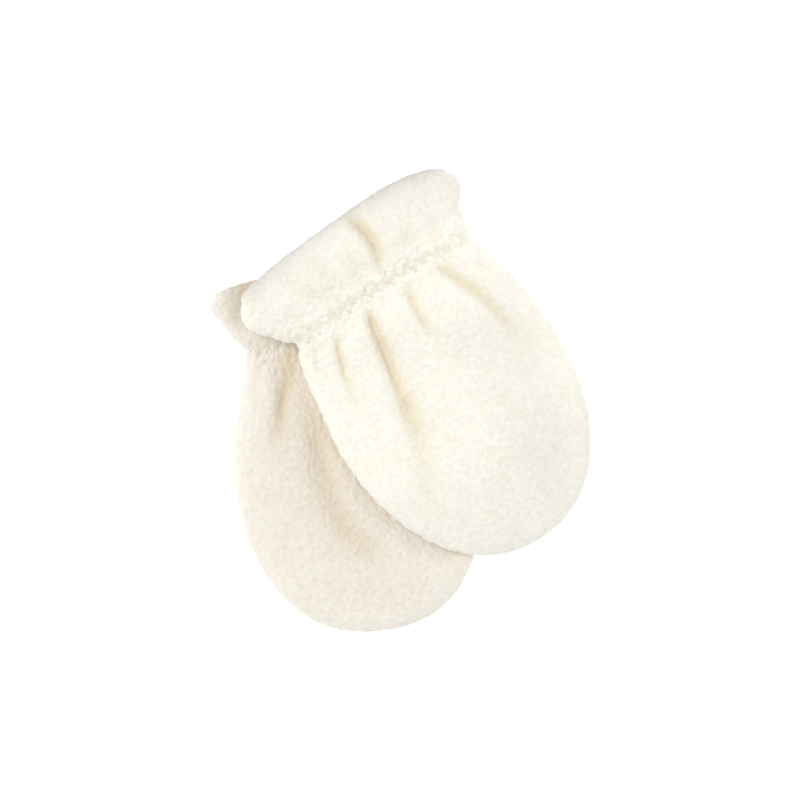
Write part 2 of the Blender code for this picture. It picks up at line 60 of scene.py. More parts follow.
# ---- the shared form, as in the CAD part (mm) ----
PALM_Y = -38.0           # widest place of the hand, where the rounded fingertips start
SPINE_X = 0.3            # middle line of a panel
SPINE_TIP = 0.6          # how far into the fingertips it goes, as a share of their length
SEAM_GAP = 0.3           # between front and back panel along the side seam
PLY_GAP = 0.3            # between the outer cloth and the hem turned inside it
HAND_END_Y = -1.0        # the hand's rows of the thickness table lie below it
HEM_END_Y = 1.2          # where the hem's raw edge ends, under the zigzag stitching
CROWN_REACH = 20.0       # how far in from the seam the panel goes on rising
RELIEF_REACH = 7.0       # folds die out over this distance from the side seam
ROW_BOW_POWER = 3.0      # how late a bowed row drops towards the side seam
CUFF_START_Y = 4.0       # above it the plies of the cuff stop following the bowed rows
CUFF_STRAIGHT_REACH = 7.0   # and over this distance come to point straight aside
LIE_GAP = 0.5            # between the lower mitten and the upper one
DRAPE_OUT = 30.0         # the upper mitten comes down over this distance outside the lower one
DRAPE_IN = 2.0           # and is at full height this far inside its edge
DRAPE_CUFF_Y = (-12.0, 6.0)   # between these it rises from the lower hand's top to the cuff's
PRESS_OUT = 9.0          # the lower mitten starts to sink this far outside the upper one
PRESS_IN = 5.0           # and is pressed down fully this far inside its edge
FOLD_START = 6.0         # a fold reaches its depth over this distance from its start
FOLD_FADE = 0.5          # and loses it over this share of its length at its end

# Where each mitten lies, and how it is turned about its wrist's middle point.
MITTENS = (
    # name     wrist x  wrist y  turn (degrees)  tip length  left tip power  right tip power
    ("lower",  -17.25,  18.23,    5.0,            55.0,       2.15,           2.50),
    ("upper",   -5.41,  34.71,   32.5,            55.9,       2.12,           2.16),
)

# Plan outline from the hem to the palm. A row bows from its middle to the side seams, and skew
# raises its right half and lowers its left half.
OUTLINES = {
    "upper": (
        # middle y  left y  right y  skew  left x  right x
        (25.8,      21.0,   21.9,    2.5,  -40.2,  37.8),
        (22.5,      18.4,   18.6,    2.2,  -42.2,  40.0),
        (17.6,      14.4,   14.0,    1.6,  -43.0,  38.7),
        (12.4,      10.4,    9.8,    1.0,  -41.4,  35.4),
        (8.2,        6.8,    6.4,    0.5,  -37.8,  34.9),
        (4.6,        3.2,    3.0,    0.2,  -35.0,  33.8),
        (1.6,        0.0,    0.0,    0.0,  -32.4,  32.7),
        (-1.9,      -3.4,   -3.4,    0.0,  -34.2,  34.4),
        (-6.0,      -7.2,   -7.2,    0.0,  -35.4,  35.6),
        (-12.6,    -13.0,  -13.0,    0.0,  -36.6,  37.1),
        (-20.0,    -20.0,  -20.0,    0.0,  -37.6,  38.5),
        (-29.0,    -29.0,  -29.0,    0.0,  -38.9,  39.8),
        (PALM_Y,  PALM_Y,  PALM_Y,   0.0,  -39.7,  40.3),
    ),
    "lower": (
        # middle y  left y  right y  skew  left x  right x
        (22.8,      17.9,   17.3,    0.9,  -41.5,  40.0),
        (19.8,      15.8,   15.2,    0.8,  -43.1,  41.2),
        (15.8,      12.8,   12.6,    0.6,  -41.7,  39.8),
        (11.8,       9.8,    9.6,    0.4,  -39.6,  37.6),
        (8.0,        6.6,    6.4,    0.2,  -37.5,  36.0),
        (4.4,        3.0,    2.8,    0.0,  -34.4,  34.4),
        (1.4,        0.0,    0.0,    0.0,  -32.6,  32.7),
        (-2.0,      -3.4,   -3.4,    0.0,  -33.4,  34.0),
        (-6.0,      -7.2,   -7.2,    0.0,  -34.4,  35.2),
        (-12.6,    -13.0,  -13.0,    0.0,  -35.8,  37.0),
        (-20.0,    -20.0,  -20.0,    0.0,  -37.4,  38.4),
        (-29.0,    -29.0,  -29.0,    0.0,  -39.2,  39.6),
        (PALM_Y,  PALM_Y,  PALM_Y,   0.0,  -40.0,  40.2),
    ),
}

# Thickness along the hand. Height is the front panel's top above what the mitten lies on, crown is
# the slow rise in it, seam is the side seam's height and rim is the radius of the rounded side.
# Give is how far the front panel's crown sinks under a mitten that lies on it.
THICKNESSES = {
    "upper": (
        # y     height  crown  seam  rim  wall  give
        (-94.0,   8.1,   1.2,  3.5,  4.6,  2.2,  0.0),
        (-60.0,   9.1,   2.0,  3.7,  5.2,  2.2,  0.0),
        (-12.0,   8.9,   1.8,  3.7,  5.4,  2.2,  0.0),
        (-4.0,    8.0,   0.8,  3.7,  4.9,  2.0,  0.0),
        (0.6,     7.6,   0.0,  3.8,  3.8,  1.6,  0.0),
        (4.0,     8.6,   0.0,  4.3,  4.3,  1.8,  0.0),
        (9.0,     9.8,   0.0,  4.9,  4.9,  1.9,  0.0),
        (15.0,   10.6,   0.0,  5.3,  5.3,  1.9,  0.0),
        (30.0,   10.6,   0.0,  5.3,  5.3,  1.9,  0.0),
    ),
    "lower": (
        # y     height  crown  seam  rim  wall  give
        (-94.0,   8.2,   1.4,  3.5,  4.6,  2.2,  2.4),
        (-60.0,   9.3,   2.2,  3.7,  5.2,  2.2,  3.4),
        (-12.0,   9.1,   2.0,  3.7,  5.2,  2.2,  3.2),
        (-4.0,    8.1,   0.9,  3.7,  4.9,  2.0,  1.6),
        (0.6,     7.6,   0.0,  3.8,  3.8,  1.6,  0.0),
        (4.0,     8.4,   0.0,  4.2,  4.2,  1.8,  0.2),
        (9.0,     9.5,   0.0,  4.8,  4.8,  1.8,  0.4),
        (15.0,   10.2,   0.0,  5.1,  5.1,  1.8,  0.6),
        (30.0,   10.2,   0.0,  5.1,  5.1,  1.8,  0.6),
    ),
}

# Gathers that start at the stitched wrist, and the cuff's creases. Depth is down into the cloth,
# a ridge has a negative one. Sigma is half the fold's width at about two thirds of its depth.
FOLDS = {
    "upper_front": (
        # start x  y      middle x  y      end x  y      depth  sigma
        (-19.3,   -2.0,   -24.2,  -15.0,  -26.2, -33.0,   1.0,   1.9),
        (-19.0,   -1.6,   -23.2,  -12.0,  -25.6, -24.0,   0.9,   0.9),
        (-7.2,    -1.0,   -11.0,  -22.0,  -18.0, -60.0,   1.3,   2.9),
        (-7.0,    -0.6,   -10.1,  -17.0,  -14.3, -40.0,   1.6,   1.4),
        (-11.5,  -30.0,   -16.3,  -48.0,  -31.0, -78.0,   0.9,   4.0),
        (-4.4,    -4.0,    -8.0,  -22.0,  -13.0, -58.0,   0.5,   6.0),
        (7.7,     -1.0,     6.4,  -11.0,    6.6, -28.0,   0.9,   2.6),
        (7.6,     -0.6,     6.0,  -10.0,    7.0, -24.0,   1.05,  1.4),
        (18.2,    -0.6,    24.8,  -15.0,   27.4, -47.0,   0.9,   3.0),
        (17.0,     0.0,    24.9,  -16.0,   27.6, -38.0,   1.35,  1.5),
        (-28.0,   -2.0,   -30.2,   -8.0,  -31.4, -17.0,   0.6,   1.5),
        (27.4,    -2.4,    29.6,   -7.0,   31.2, -14.0,   0.5,   1.5),
        (13.0,    -2.0,    15.0,   -7.0,   17.4, -15.0,   0.4,   1.5),
        (-14.0,   -2.6,   -17.0,  -14.0,  -19.0, -34.0,  -0.5,   2.4),
        (0.6,     -2.6,    -1.0,  -20.0,   -0.6, -62.0,  -0.7,   5.0),
        (13.4,    -4.0,    16.4,  -17.0,   18.6, -36.0,  -0.5,   3.4),
        (0.8,     33.0,     5.4,   17.0,    2.8,   2.0,   1.15,  3.5),
        (2.6,     27.0,     5.7,   15.0,   -0.6,   0.5,   1.90,  2.0),
        (-4.4,    20.0,    -3.4,   13.0,   -6.0,   4.6,   0.8,   2.8),
        (-14.0,   24.0,   -12.6,   14.0,  -14.4,   4.0,   0.6,   3.0),
        (-21.0,   17.0,   -19.5,    9.0,  -18.4,   3.6,   0.6,   2.0),
        (-30.0,   14.0,   -28.5,    8.0,  -26.6,   3.6,   0.7,   2.0),
        (15.4,    18.0,    15.0,    9.0,   14.0,   4.0,   0.7,   2.2),
        (25.8,    16.0,    25.0,    8.0,   23.8,   3.6,   0.6,   2.0),
        (34.6,    12.6,    33.0,    9.8,   30.0,   8.6,   0.7,   1.6),
    ),
    "lower_front": (
        # start x  y      middle x  y      end x  y      depth  sigma
        (-17.6,    3.0,   -20.8,  -13.0,  -27.4, -42.0,   1.4,   3.6),
        (-17.4,    3.0,   -20.6,  -13.0,  -26.4, -33.0,   1.4,   1.9),
        (-27.4,   -2.0,   -29.6,   -8.0,  -31.0, -18.0,   0.5,   1.6),
        (-6.0,    -2.4,    -8.0,  -10.0,   -9.6, -22.0,   1.1,   2.2),
        (6.4,     -2.4,     7.2,  -12.0,    7.6, -26.0,   1.2,   2.3),
        (18.0,    -2.4,    21.0,  -12.0,   23.6, -28.0,   1.2,   2.3),
        (28.0,    -2.0,    30.2,   -8.0,   31.6, -16.0,   0.8,   1.7),
        (-26.0,   29.0,   -31.4,   18.0,  -35.0,   6.0,   1.7,   3.2),
        (-12.0,   22.0,   -11.0,   12.0,  -11.4,   4.0,   0.7,   2.2),
        (4.0,     20.0,     5.0,   11.0,    4.4,   4.0,   0.7,   2.2),
        (19.0,    22.0,    19.6,   12.0,   18.2,   4.0,   0.7,   2.0),
    ),
    "upper_back": (
        # start x  y      middle x  y      end x  y      depth  sigma
        (-15.0,   -2.0,   -17.6,  -10.0,  -19.0, -22.0,   0.8,   2.0),
        (0.6,     -2.0,     0.0,  -12.0,   -2.0, -28.0,   0.8,   2.4),
        (12.6,    -2.0,    15.0,  -10.0,   17.0, -22.0,   0.8,   2.0),
        (-24.6,   -2.0,   -28.4,   -9.0,  -30.4, -18.0,   0.4,   1.8),
        (26.0,    -2.0,    29.6,   -9.0,   31.8, -18.0,   0.5,   1.8),
        (-12.0,   18.0,   -12.6,   10.0,  -13.0,   4.0,   0.6,   2.0),
        (20.0,    18.0,    19.4,   10.0,   19.0,   4.0,   0.6,   2.0),
    ),
    "lower_back": (
        # start x  y      middle x  y      end x  y      depth  sigma
        (-12.0,   -2.0,   -14.6,  -12.0,  -16.0, -27.0,   0.8,   2.2),
        (0.0,     -2.0,     0.0,  -10.0,   -1.0, -22.0,   0.8,   2.2),
        (12.0,    -2.0,    14.4,  -11.0,   15.6, -24.0,   0.8,   2.2),
        (24.0,    -2.0,    26.4,   -9.0,   28.0, -18.0,   0.5,   1.8),
        (-19.4,   18.0,   -19.0,   10.0,  -18.4,   4.0,   0.5,   2.0),
        (-3.6,    18.0,    -3.0,   11.0,   -3.4,   4.0,   0.5,   2.0),
        (12.0,    18.0,    12.4,   10.0,   11.6,   4.0,   0.5,   2.0),
    ),
}

# Long curved valleys: four points (x, y) on the line, depth and sigma.
VALLEYS = {
    "lower_front": (
        (((-12.4, -9.0), (-10.6, -36.0), (-3.6, -60.5), (17.0, -71.5)), 1.6, 3.8),
        (((-14.0, -12.0), (-13.0, -38.0), (-5.0, -60.0), (14.0, -72.0)), 1.3, 8.0),
    ),
}
VALLEY_FADE = 0.30       # a valley fades over this share of its length at both ends
VALLEY_STEPS = 60        # places on its line that distances are measured to
TIP_ARC_STEPS = 2001     # places on half the fingertips' curve before it is divided evenly

# ---- what only the looks have (mm) ----
# Short puckers that the elastic pulls into the cloth on both sides of the stitching: where each
# one sits on the wrist, how far it runs down the hand and up the cuff, and how deep it is.
PUCKERS = {
    "upper_front": (
        # x      hand   cuff   depth  width
        (-30.4,  3.6,   4.6,   0.50,  1.0),
        (-25.6,  5.2,   3.0,   0.60,  1.1),
        (-22.3,  2.6,   4.4,   0.45,  0.9),
        (-17.0,  4.4,   2.6,   0.55,  1.1),
        (-12.6,  6.0,   4.8,   0.60,  1.2),
        (-10.2,  2.4,   3.0,   0.40,  0.8),
        (-4.0,   3.2,   5.4,   0.60,  1.1),
        (-1.0,   5.4,   2.6,   0.50,  1.0),
        (3.6,    3.0,   3.8,   0.55,  1.1),
        (9.9,    6.2,   3.0,   0.50,  1.2),
        (12.0,   2.6,   4.8,   0.45,  0.9),
        (16.2,   3.4,   2.8,   0.60,  1.1),
        (21.4,   5.0,   4.4,   0.55,  1.1),
        (24.4,   2.8,   3.0,   0.45,  0.9),
        (29.6,   4.4,   4.0,   0.50,  1.0),
    ),
    "lower_front": (
        # x      hand   cuff   depth  width
        (-30.2,  4.4,   3.0,   0.70,  0.8),
        (-27.6,  3.6,   2.6,   0.70,  0.7),
        (-24.6,  5.0,   3.4,   0.80,  0.8),
        (-21.4,  3.4,   3.6,   0.60,  0.8),
        (-13.2,  5.6,   3.0,   0.55,  1.2),
        (-9.4,   3.0,   4.0,   0.50,  1.0),
        (-2.2,   4.6,   3.6,   0.55,  1.1),
        (2.8,    3.0,   4.4,   0.50,  1.0),
        (10.6,   5.4,   3.0,   0.55,  1.2),
        (14.8,   3.0,   4.2,   0.50,  1.0),
        (22.6,   4.4,   3.4,   0.55,  1.1),
        (27.0,   3.0,   4.0,   0.50,  1.0),
    ),
    "upper_back": (
        # x      hand   cuff   depth  width
        (-29.0,  3.0,   4.0,   0.40,  1.0),
        (-21.0,  4.6,   3.0,   0.45,  1.1),
        (-11.0,  3.0,   4.2,   0.40,  1.0),
        (-4.6,   5.0,   3.0,   0.45,  1.1),
        (6.0,    3.4,   4.4,   0.40,  1.0),
        (17.4,   4.6,   3.0,   0.45,  1.1),
        (22.6,   3.0,   4.0,   0.40,  1.0),
        (30.0,   3.6,   3.0,   0.40,  1.0),
    ),
    "lower_back": (
        # x      hand   cuff   depth  width
        (-28.0,  3.4,   4.0,   0.40,  1.0),
        (-22.4,  4.4,   3.0,   0.45,  1.1),
        (-16.6,  3.0,   4.4,   0.40,  1.0),
        (-6.0,   4.8,   3.0,   0.45,  1.1),
        (5.4,    3.2,   4.2,   0.40,  1.0),
        (18.0,   4.6,   3.0,   0.45,  1.1),
        (29.0,   3.0,   4.0,   0.40,  1.0),
    ),
}

PUCKER_SPREAD = 0.012    # how much a pucker fans out for a millimetre away from the wrist

# Step is the grid's spacing. Every coarse-th line and column carries the cloth's hidden inner
# face. Nap is the height of the curls, and down is how much of it is sunk instead of raised, so
# that a face that rests stays on its surface.
CLOTHS = {
    # panel         step  coarse  nap   down
    "lower_back":  (0.60, 6,      0.26, 1.0),
    "lower_front": (0.38, 8,      0.48, 0.4),
    "upper_back":  (0.60, 6,      0.26, 1.0),
    "upper_front": (0.36, 8,      0.46, 0.4),
}
NAP_SEEDS = {"lower_back": 11, "lower_front": 23, "upper_back": 37, "upper_front": 53}
ROUND_SIDE = 7.5         # usual way round the side, and over the flat from there to the spine
FLAT_HALF = 36.0
TIP_HALF = 52.0          # usual way from the palm's row to the tip's, halfway out
HEM_TURN = 6.0           # usual way round the hem's fold
HEM_ROW_STEP = 3         # the ply inside the cuff keeps every third row
SEAM_SINK = 0.7          # how far the side seam is drawn in between the two panels
SEAM_SINK_REACH = 1.3    # and over what distance round the side
NAP_ACROSS = 1.28        # size of a curl of the nap across the mitten
NAP_ALONG = 1.60         # and along it
NOISE_CELLS = 256        # noise repeats after this many cells
PEBBLE_CELLS = 4093      # places that the curls' middles are drawn from
PEBBLE_HASH = (73, 1259, 397)   # which of them a cell gets, from its number along x, y and z
NAP_TOP = 1.2            # highest that a curl may be
NAP_FLOOR = 0.06         # the nap's height is this, and these shares of its curls, lumps and drifts
NAP_CURLS = 0.80
NAP_LUMPS = 0.55
NAP_DRIFTS = 0.30
CURL_FALL = 1.1          # how fast a curl falls away from its middle
NAP_BEND = 0.5           # the curls' rows wander about this far, in curls
NAP_BEND_SIZE = 2.2      # over this distance
NAP_LUMP_SCALE = 0.8     # lumps to a curl
NAP_DRIFT_SIZE = 4.0     # a drift's size, in curls
RUCHE = 0.95             # scale of the lumps at the elastic, which are up to 0.7 of it high
RUCHE_ACROSS = 1.6       # their size across the mitten
RUCHE_ALONG = 2.2        # and along it
RUCHE_REACH = 6.8        # half the width of the band that they fill
RUCHE_TOP = 0.7          # a lump's top, and how fast it falls away from its middle, both in RUCHE
RUCHE_FALL = 1.3
RUCHE_BEND = 0.7         # the lumps' rows wander about this far, in lumps
RUCHE_BEND_SIZE = 1.8    # over this distance
WRIST_MIDDLE_Y = {"upper": 1.6, "lower": 1.4}
BORDER_TIP_POINTS = 14   # on each half of the fingertips, where a mitten's border is measured to
BORDER_HEM_POINTS = 13   # and along its hem
STITCH_PITCH = 4.2       # of the zigzag round the wrist
STITCH_REACH = 1.6       # how far its points lie above and below the wrist
THREAD_RADIUS = 0.17     # of each of the two plies
THREAD_TWIST = 1.1       # length of one turn of the plies
THREAD_STEP = 0.2        # distance of the points on the thread's path
THREAD_SIDES = 6
NEEDLE_DEPTH = 0.24      # dimple where the thread goes through
NEEDLE_WIDTH = 0.50
STITCH_GROOVE = 0.05     # the thread presses the nap down this far
STITCH_WIDTH = 0.48
STITCH_MARGIN = 5.0      # points up to this far beyond the zigzag are looked at for its marks
AT_HOLE = 0.999          # a point of the thread this near a hole, 0 to 1, is in it
THREAD_NAP = 0.6         # how much of the nap's height is left under it
HOLE_SHARE = 0.10        # share of a stitch's length that dips into the hole
DARK_FOLD = 3.2          # a fold this deep has the full shade of a crease
DARK_PUCKER = 3.0        # and a pucker
DARK_VALLEY = 4.7        # and a long valley
DARKEST = 0.85           # most shade that they have together
SIDE_SHADE = 0.14        # shade on the lower mitten close beside the upper one
# all the dims are painted shade
# Dims dull the cloth's own colour at listed places, to follow how the light falls in the photograph.
# They aren't part of the fleece's colour, and nor are SIDE_SHADE and the mittens' shade colours.
CUFF_DIM = 0.10          # on the cuff
CUFF_RIGHT_DIM = 0.095   # and more from the middle of the cuff on to the right
CUFF_RIGHT_REACH = 18.0  # which is complete this far out
HEM_DIM = 0.47           # where the hem turns over
BELOW_HEM_DIMS = {"upper": 0.31, "lower": 0.05}   # and just below there
BELOW_HEM_REACH = 2.6
CUFF_SIDE_DIM = 0.42     # on the lower cuff close beside the upper one
TIP_DIMS = {"upper": 0.16, "lower": 0.0}    # at the fingertips
TIP_DIM_Y = -48.0        # from here
TIP_DIM_REACH = 26.0     # over this distance
PALM_DIMS = {"upper": 0.10, "lower": 0.0}   # and on the palm, where all three of these are reached
PALM_DIM_X = (0.0, 16.0)         # from the palm's middle to the right
PALM_DIM_INWARDS = (3.5, 11.0)   # in from the side seam
PALM_DIM_Y = (-14.0, -26.0)      # down from the wrist
SIDE_MITTEN_SHADE = 0.74         # share of its painted shade that a mitten has at its sides
MITTEN_SHADE_REACH = 15.0        # and how far in it has all of it
THREAD_RISE = 0.04       # of the thread's middle over the cloth on top
THREAD_SUNK = 0.36       # and below the surface that it rests on underneath

# ---- materials and studio (m) ----
HOLLOW_COLOUR = (0.885, 0.836, 0.72, 1.0)   # in the nap's hollows, darker as painted shade
CURL_COLOUR = (0.98, 0.97, 0.895, 1.0)      # and on its curls, lighter as painted light
# the thread and the paper vary between two colours each
THREAD_COLOURS = (0.90, 0.87, 0.76, 1.0), (0.98, 0.97, 0.90, 1.0)
PAPER_COLOURS = (0.90, 0.90, 0.90, 1.0), (0.92, 0.92, 0.92, 1.0)
# painted shade multiplies the colour by one of these where it is full: in a crease, at a dim, and on a
# mitten away from its sides
CREASE_SHADE_COLOUR = (0.85, 0.775, 0.64, 1.0)
DIM_SHADE_COLOURS = {"upper": (0.60, 0.60, 0.635, 1.0), "lower": (0.60, 0.57, 0.55, 1.0)}
# painted shade on the lower mitten and its thread
# the lower mitten looks a little darker and pinker in the photograph, away from its sides
MITTEN_SHADE_COLOURS = {"upper": (1.0, 1.0, 1.0, 1.0), "lower": (0.902, 0.870, 0.868, 1.0)}
LUMP_SCALE = 1400.0      # small lumps of the nap to a metre
FIBRE_SCALE = 4200.0     # single fibres to a metre
DRIFT_SCALE = 110.0      # slow changes of tone to a metre
STREAK_SCALE = 5200.0    # the thread's streaks to a metre
GRAIN_SCALE = 900.0      # the paper's
CURL_TONE = 0.45         # shares of the curls, the lumps and the drifts in the fleece's tone; curls and lumps paint light and shade, drifts are its own tone
LUMP_TONE = 0.20
DRIFT_TONE = 0.40
LUMP_RELIEF = 1.6        # shares of the lumps and the fibres in its fine relief
FIBRE_RELIEF = 0.7
BUMP_DEPTH = 0.00016
THREAD_BUMP_DEPTH = 0.00004
PAPER_GLOW = 0.50        # light that the paper gives off itself
FLOOR_REACH = 3.0
ROOM_LIGHT = 0.627
# a large soft box above and to the left, and a weak low one from the right
LIGHTS = (
    # name        place               aim              size  power  colour
    ("key_box",  (-1.30, 0.55, 2.60), (0.0, 0.0, 0.0), 1.30, 43.5, (1.0, 1.0, 1.0)),
    ("low_box",  (1.60, 0.20, 0.42), (0.0, 0.0, 0.0), 0.80, 4.4, (1.0, 1.0, 1.0)),
)
SENSOR = 36.0            # mm
IMAGE_WIDTH = 800        # pixels of the photograph
PIXEL = 0.00032          # one pixel of it, at the level of the cloth
CLOTH_LEVEL = 0.010
CAMERA_ABOVE = 1.2       # over that level
VIEW_MIDDLE = (-0.00013, 0.00031)


# ---- helpers on tables ----

def smooth(t):
    """0 to 1 with level ends."""
    t = np.clip(t, 0.0, 1.0)
    return t * t * (3 - 2 * t)


def between(value, ends):
    """0 at the first end and 1 at the second, with level ends."""
    return smooth((value - ends[0]) / (ends[1] - ends[0]))


def ease(t):
    """0 to 1 with level and unbent ends, for slopes that show no line where they start."""
    t = np.clip(t, 0.0, 1.0)
    return t ** 3 * (t * (6 * t - 15) + 10)


def monotone_curve(known_x, known_y, x):
    """Smooth curve through table rows that doesn't overshoot them (known_x rises)."""
    known_x = np.asarray(known_x, float)
    known_y = np.asarray(known_y, float)
    step = np.diff(known_x)
    secant = np.diff(known_y) / step
    slope = np.zeros(len(known_x))
    rising = secant[:-1] * secant[1:] > 0
    pair_sum = np.where(rising, secant[:-1] + secant[1:], 1.0)
    slope[1:-1] = np.where(rising, 2 * secant[:-1] * secant[1:] / pair_sum, 0.0)
    slope[0] = secant[0]
    slope[-1] = secant[-1]
    x = np.clip(x, known_x[0], known_x[-1])
    i = np.clip(np.searchsorted(known_x, x, side="right") - 1, 0, len(step) - 1)
    t = (x - known_x[i]) / step[i]
    from_left = known_y[i] + t * step[i] * slope[i]
    from_right = known_y[i + 1] - (1 - t) * step[i] * slope[i + 1]
    blend = smooth(t)
    return from_left * (1 - blend) + from_right * blend


def crown_share(seam_distance):
    """How much of its slow rise a panel has this far in from the seam, steepest at the seam."""
    return 1 - (1 - np.clip(seam_distance / CROWN_REACH, 0, 1)) ** 2


def thickness(mitten, y):
    """Height, crown, seam, rim, wall and give of a mitten at y."""
    columns = np.array(THICKNESSES[mitten]).T
    return [monotone_curve(columns[0], column, y) for column in columns[1:]]


def outline_at(mitten, numbers):
    """Middle y, left y, right y, skew, left x and right x at fractional rows of the table."""
    table = np.array(OUTLINES[mitten])
    return [monotone_curve(np.arange(len(table)), column, numbers) for column in table.T]


def row_at(mitten, middle_y):
    """Fractional row of the outline table whose middle is at middle_y."""
    dense = np.linspace(0, len(OUTLINES[mitten]) - 1, 2000)
    return np.interp(-np.asarray(middle_y), -outline_at(mitten, dense)[0], dense)


# ---- noise ----

def gradient_noise(points, seed):
    """Smooth noise, about -0.7 to 0.7, with one hump or hollow to each unit cell."""
    order = np.random.default_rng(seed).permutation(NOISE_CELLS)
    arrows = np.array([a for a in itertools.product((-1, 0, 1), repeat=3) if sum(map(abs, a)) == 2])
    cell = np.floor(points).astype(int)
    inside = points - cell
    near_end = inside ** 3 * (inside * (inside * 6 - 15) + 10)
    total = np.zeros(points.shape[:-1])
    for corner in itertools.product((0, 1), repeat=3):
        i, j, k = np.moveaxis((cell + corner) % NOISE_CELLS, -1, 0)
        pick = order[(order[(order[i] + j) % NOISE_CELLS] + k) % NOISE_CELLS]
        arrow = arrows[pick % len(arrows)]
        weight = np.where(corner, near_end, 1 - near_end).prod(axis=-1)
        total += weight * ((inside - corner) * arrow).sum(axis=-1)
    return total


def pebble_distance(points, seed):
    """Distance from points to the nearest of the pebbles' middles, one to each unit cell."""
    middles = np.random.default_rng(seed).random((PEBBLE_CELLS, 3))
    cell = np.floor(points).astype(int)
    inside = points - cell
    nearest = np.full(points.shape[:-1], np.inf)
    for step in itertools.product((-1, 0, 1), repeat=3):
        middle = middles[((cell + step) @ PEBBLE_HASH) % PEBBLE_CELLS]
        away = ((step + middle - inside) ** 2).sum(axis=-1)
        nearest = np.minimum(nearest, away)
    return np.sqrt(nearest)


def wandering(points, size, bend, bend_size, seeds):
    """Points in units of size, with the straight rows of the unit cells bent."""
    bends = [gradient_noise(points / (bend_size * size), seed) for seed in seeds]
    return points / size + bend * np.stack(bends, axis=-1)


def nap_height(points, seed):
    """The nap at points of a mitten's own space, 0 in its hollows to about 1 on its curls."""
    size = np.array([NAP_ACROSS, NAP_ALONG, NAP_ACROSS])
    bent = wandering(points, size, NAP_BEND, NAP_BEND_SIZE, (seed + 1, seed + 2, seed + 3))
    curls = 1.0 - CURL_FALL * pebble_distance(bent, seed + 4) ** 2
    lumps = gradient_noise(NAP_LUMP_SCALE * bent, seed + 5)
    drifts = gradient_noise(points / (NAP_DRIFT_SIZE * size), seed + 6)
    height = NAP_FLOOR + NAP_CURLS * curls + NAP_LUMPS * lumps + NAP_DRIFTS * drifts
    return np.clip(height, 0.0, NAP_TOP)


def ruche_height(points, y, seed):
    """The cloth bunched up in small lumps by the elastic, at points of a mitten's own space. y is
    measured from the stitched wrist."""
    size = np.array([RUCHE_ACROSS, RUCHE_ALONG, RUCHE_ACROSS])
    bent = wandering(points, size, RUCHE_BEND, RUCHE_BEND_SIZE, (seed + 7, seed + 8, seed + 9))
    lumps = RUCHE_TOP - RUCHE_FALL * pebble_distance(bent, seed + 10) ** 2
    return lumps * np.exp(-(y / RUCHE_REACH) ** 2)


# ---- one panel in its mitten's plane ----

def fingertip_rim(palm_x, power, tip_length, count):
    """Evenly spaced points round one half of the fingertips, from next to the palm to the tip."""
    angle = np.linspace(0, math.pi / 2, TIP_ARC_STEPS)
    aside = np.cos(angle) ** (2 / power) * (palm_x - SPINE_X)
    reach = np.sin(angle) ** (2 / power) * tip_length
    run = np.concatenate([[0], np.hypot(np.diff(aside), np.diff(reach)).cumsum()])
    even = np.linspace(0, run[-1], count + 1)[1:]
    x = SPINE_X + np.interp(even, run, aside)
    y = PALM_Y - np.interp(even, run, reach)
    return np.stack([x, y], axis=1)


def half_lines(mitten, numbers, tip, count):
    """Lines from the side seam to the spine, down the left side to the tip and up the right side.

    Each has a rim point and a spine point in plan, and a skew. Rows lead from the hem to the palm,
    and count more of them on each side bend round the fingertips. The last one, which runs along
    the spine to the tip, is shared.
    """
    middle_y, left_y, right_y, skew, left_x, right_x = outline_at(mitten, numbers)
    tip_y = PALM_Y - SPINE_TIP * tip["length"] * np.arange(1, count + 1) / count
    spine = np.stack([np.full(len(middle_y) + count, SPINE_X), np.append(middle_y, tip_y)], axis=1)
    left_tip = fingertip_rim(left_x[-1], tip["left power"], tip["length"], count)
    right_tip = fingertip_rim(right_x[-1], tip["right power"], tip["length"], count)
    left = np.concatenate([np.stack([left_x, left_y], axis=1), left_tip])
    right = np.concatenate([np.stack([right_x, right_y], axis=1), right_tip])
    skew = np.append(skew, np.zeros(count))
    return (np.concatenate([left, right[-2::-1]]),
            np.concatenate([spine, spine[-2::-1]]),
            np.concatenate([-skew, skew[-2::-1]]))


def wall_directions(rim, spine, skew):
    """Unit vectors in plan that point out of the wall at each rim point: along the rows at the
    wrist and straight aside at the hem, so that the ply inside the cuff doesn't cross itself, and
    square to the outline round the fingertips."""
    to_rim = rim - spine
    bowed = 1 - smooth((rim[:, 1] - CUFF_START_Y) / CUFF_STRAIGHT_REACH)
    ahead = np.stack([to_rim[:, 0], bowed * (ROW_BOW_POWER * to_rim[:, 1] - 2 * skew)], axis=1)
    along = np.gradient(rim, axis=0)
    square = np.stack([along[:, 1], -along[:, 0]], axis=1)
    out = np.where(spine[:, 1:] <= PALM_Y, square, ahead)
    return out / np.linalg.norm(out, axis=1, keepdims=True)


def fold_relief(panel, x, y):
    """How far the folds bring the cloth down at plan points."""
    relief = np.zeros_like(x)
    for start_x, start_y, middle_x, middle_y, end_x, end_y, depth, sigma in FOLDS[panel]:
        # the fold's line is the parabola through its three points
        along = np.clip(y, end_y, start_y)
        line = (start_x * (along - middle_y) * (along - end_y)
                / ((start_y - middle_y) * (start_y - end_y))
                + middle_x * (along - start_y) * (along - end_y)
                / ((middle_y - start_y) * (middle_y - end_y))
                + end_x * (along - start_y) * (along - middle_y)
                / ((end_y - start_y) * (end_y - middle_y)))
        grown = smooth((start_y - y) / FOLD_START)
        left_over = smooth((y - end_y) / (FOLD_FADE * (start_y - end_y)))
        relief += depth * grown * left_over * np.exp(-((x - line) / sigma) ** 2)
    return relief


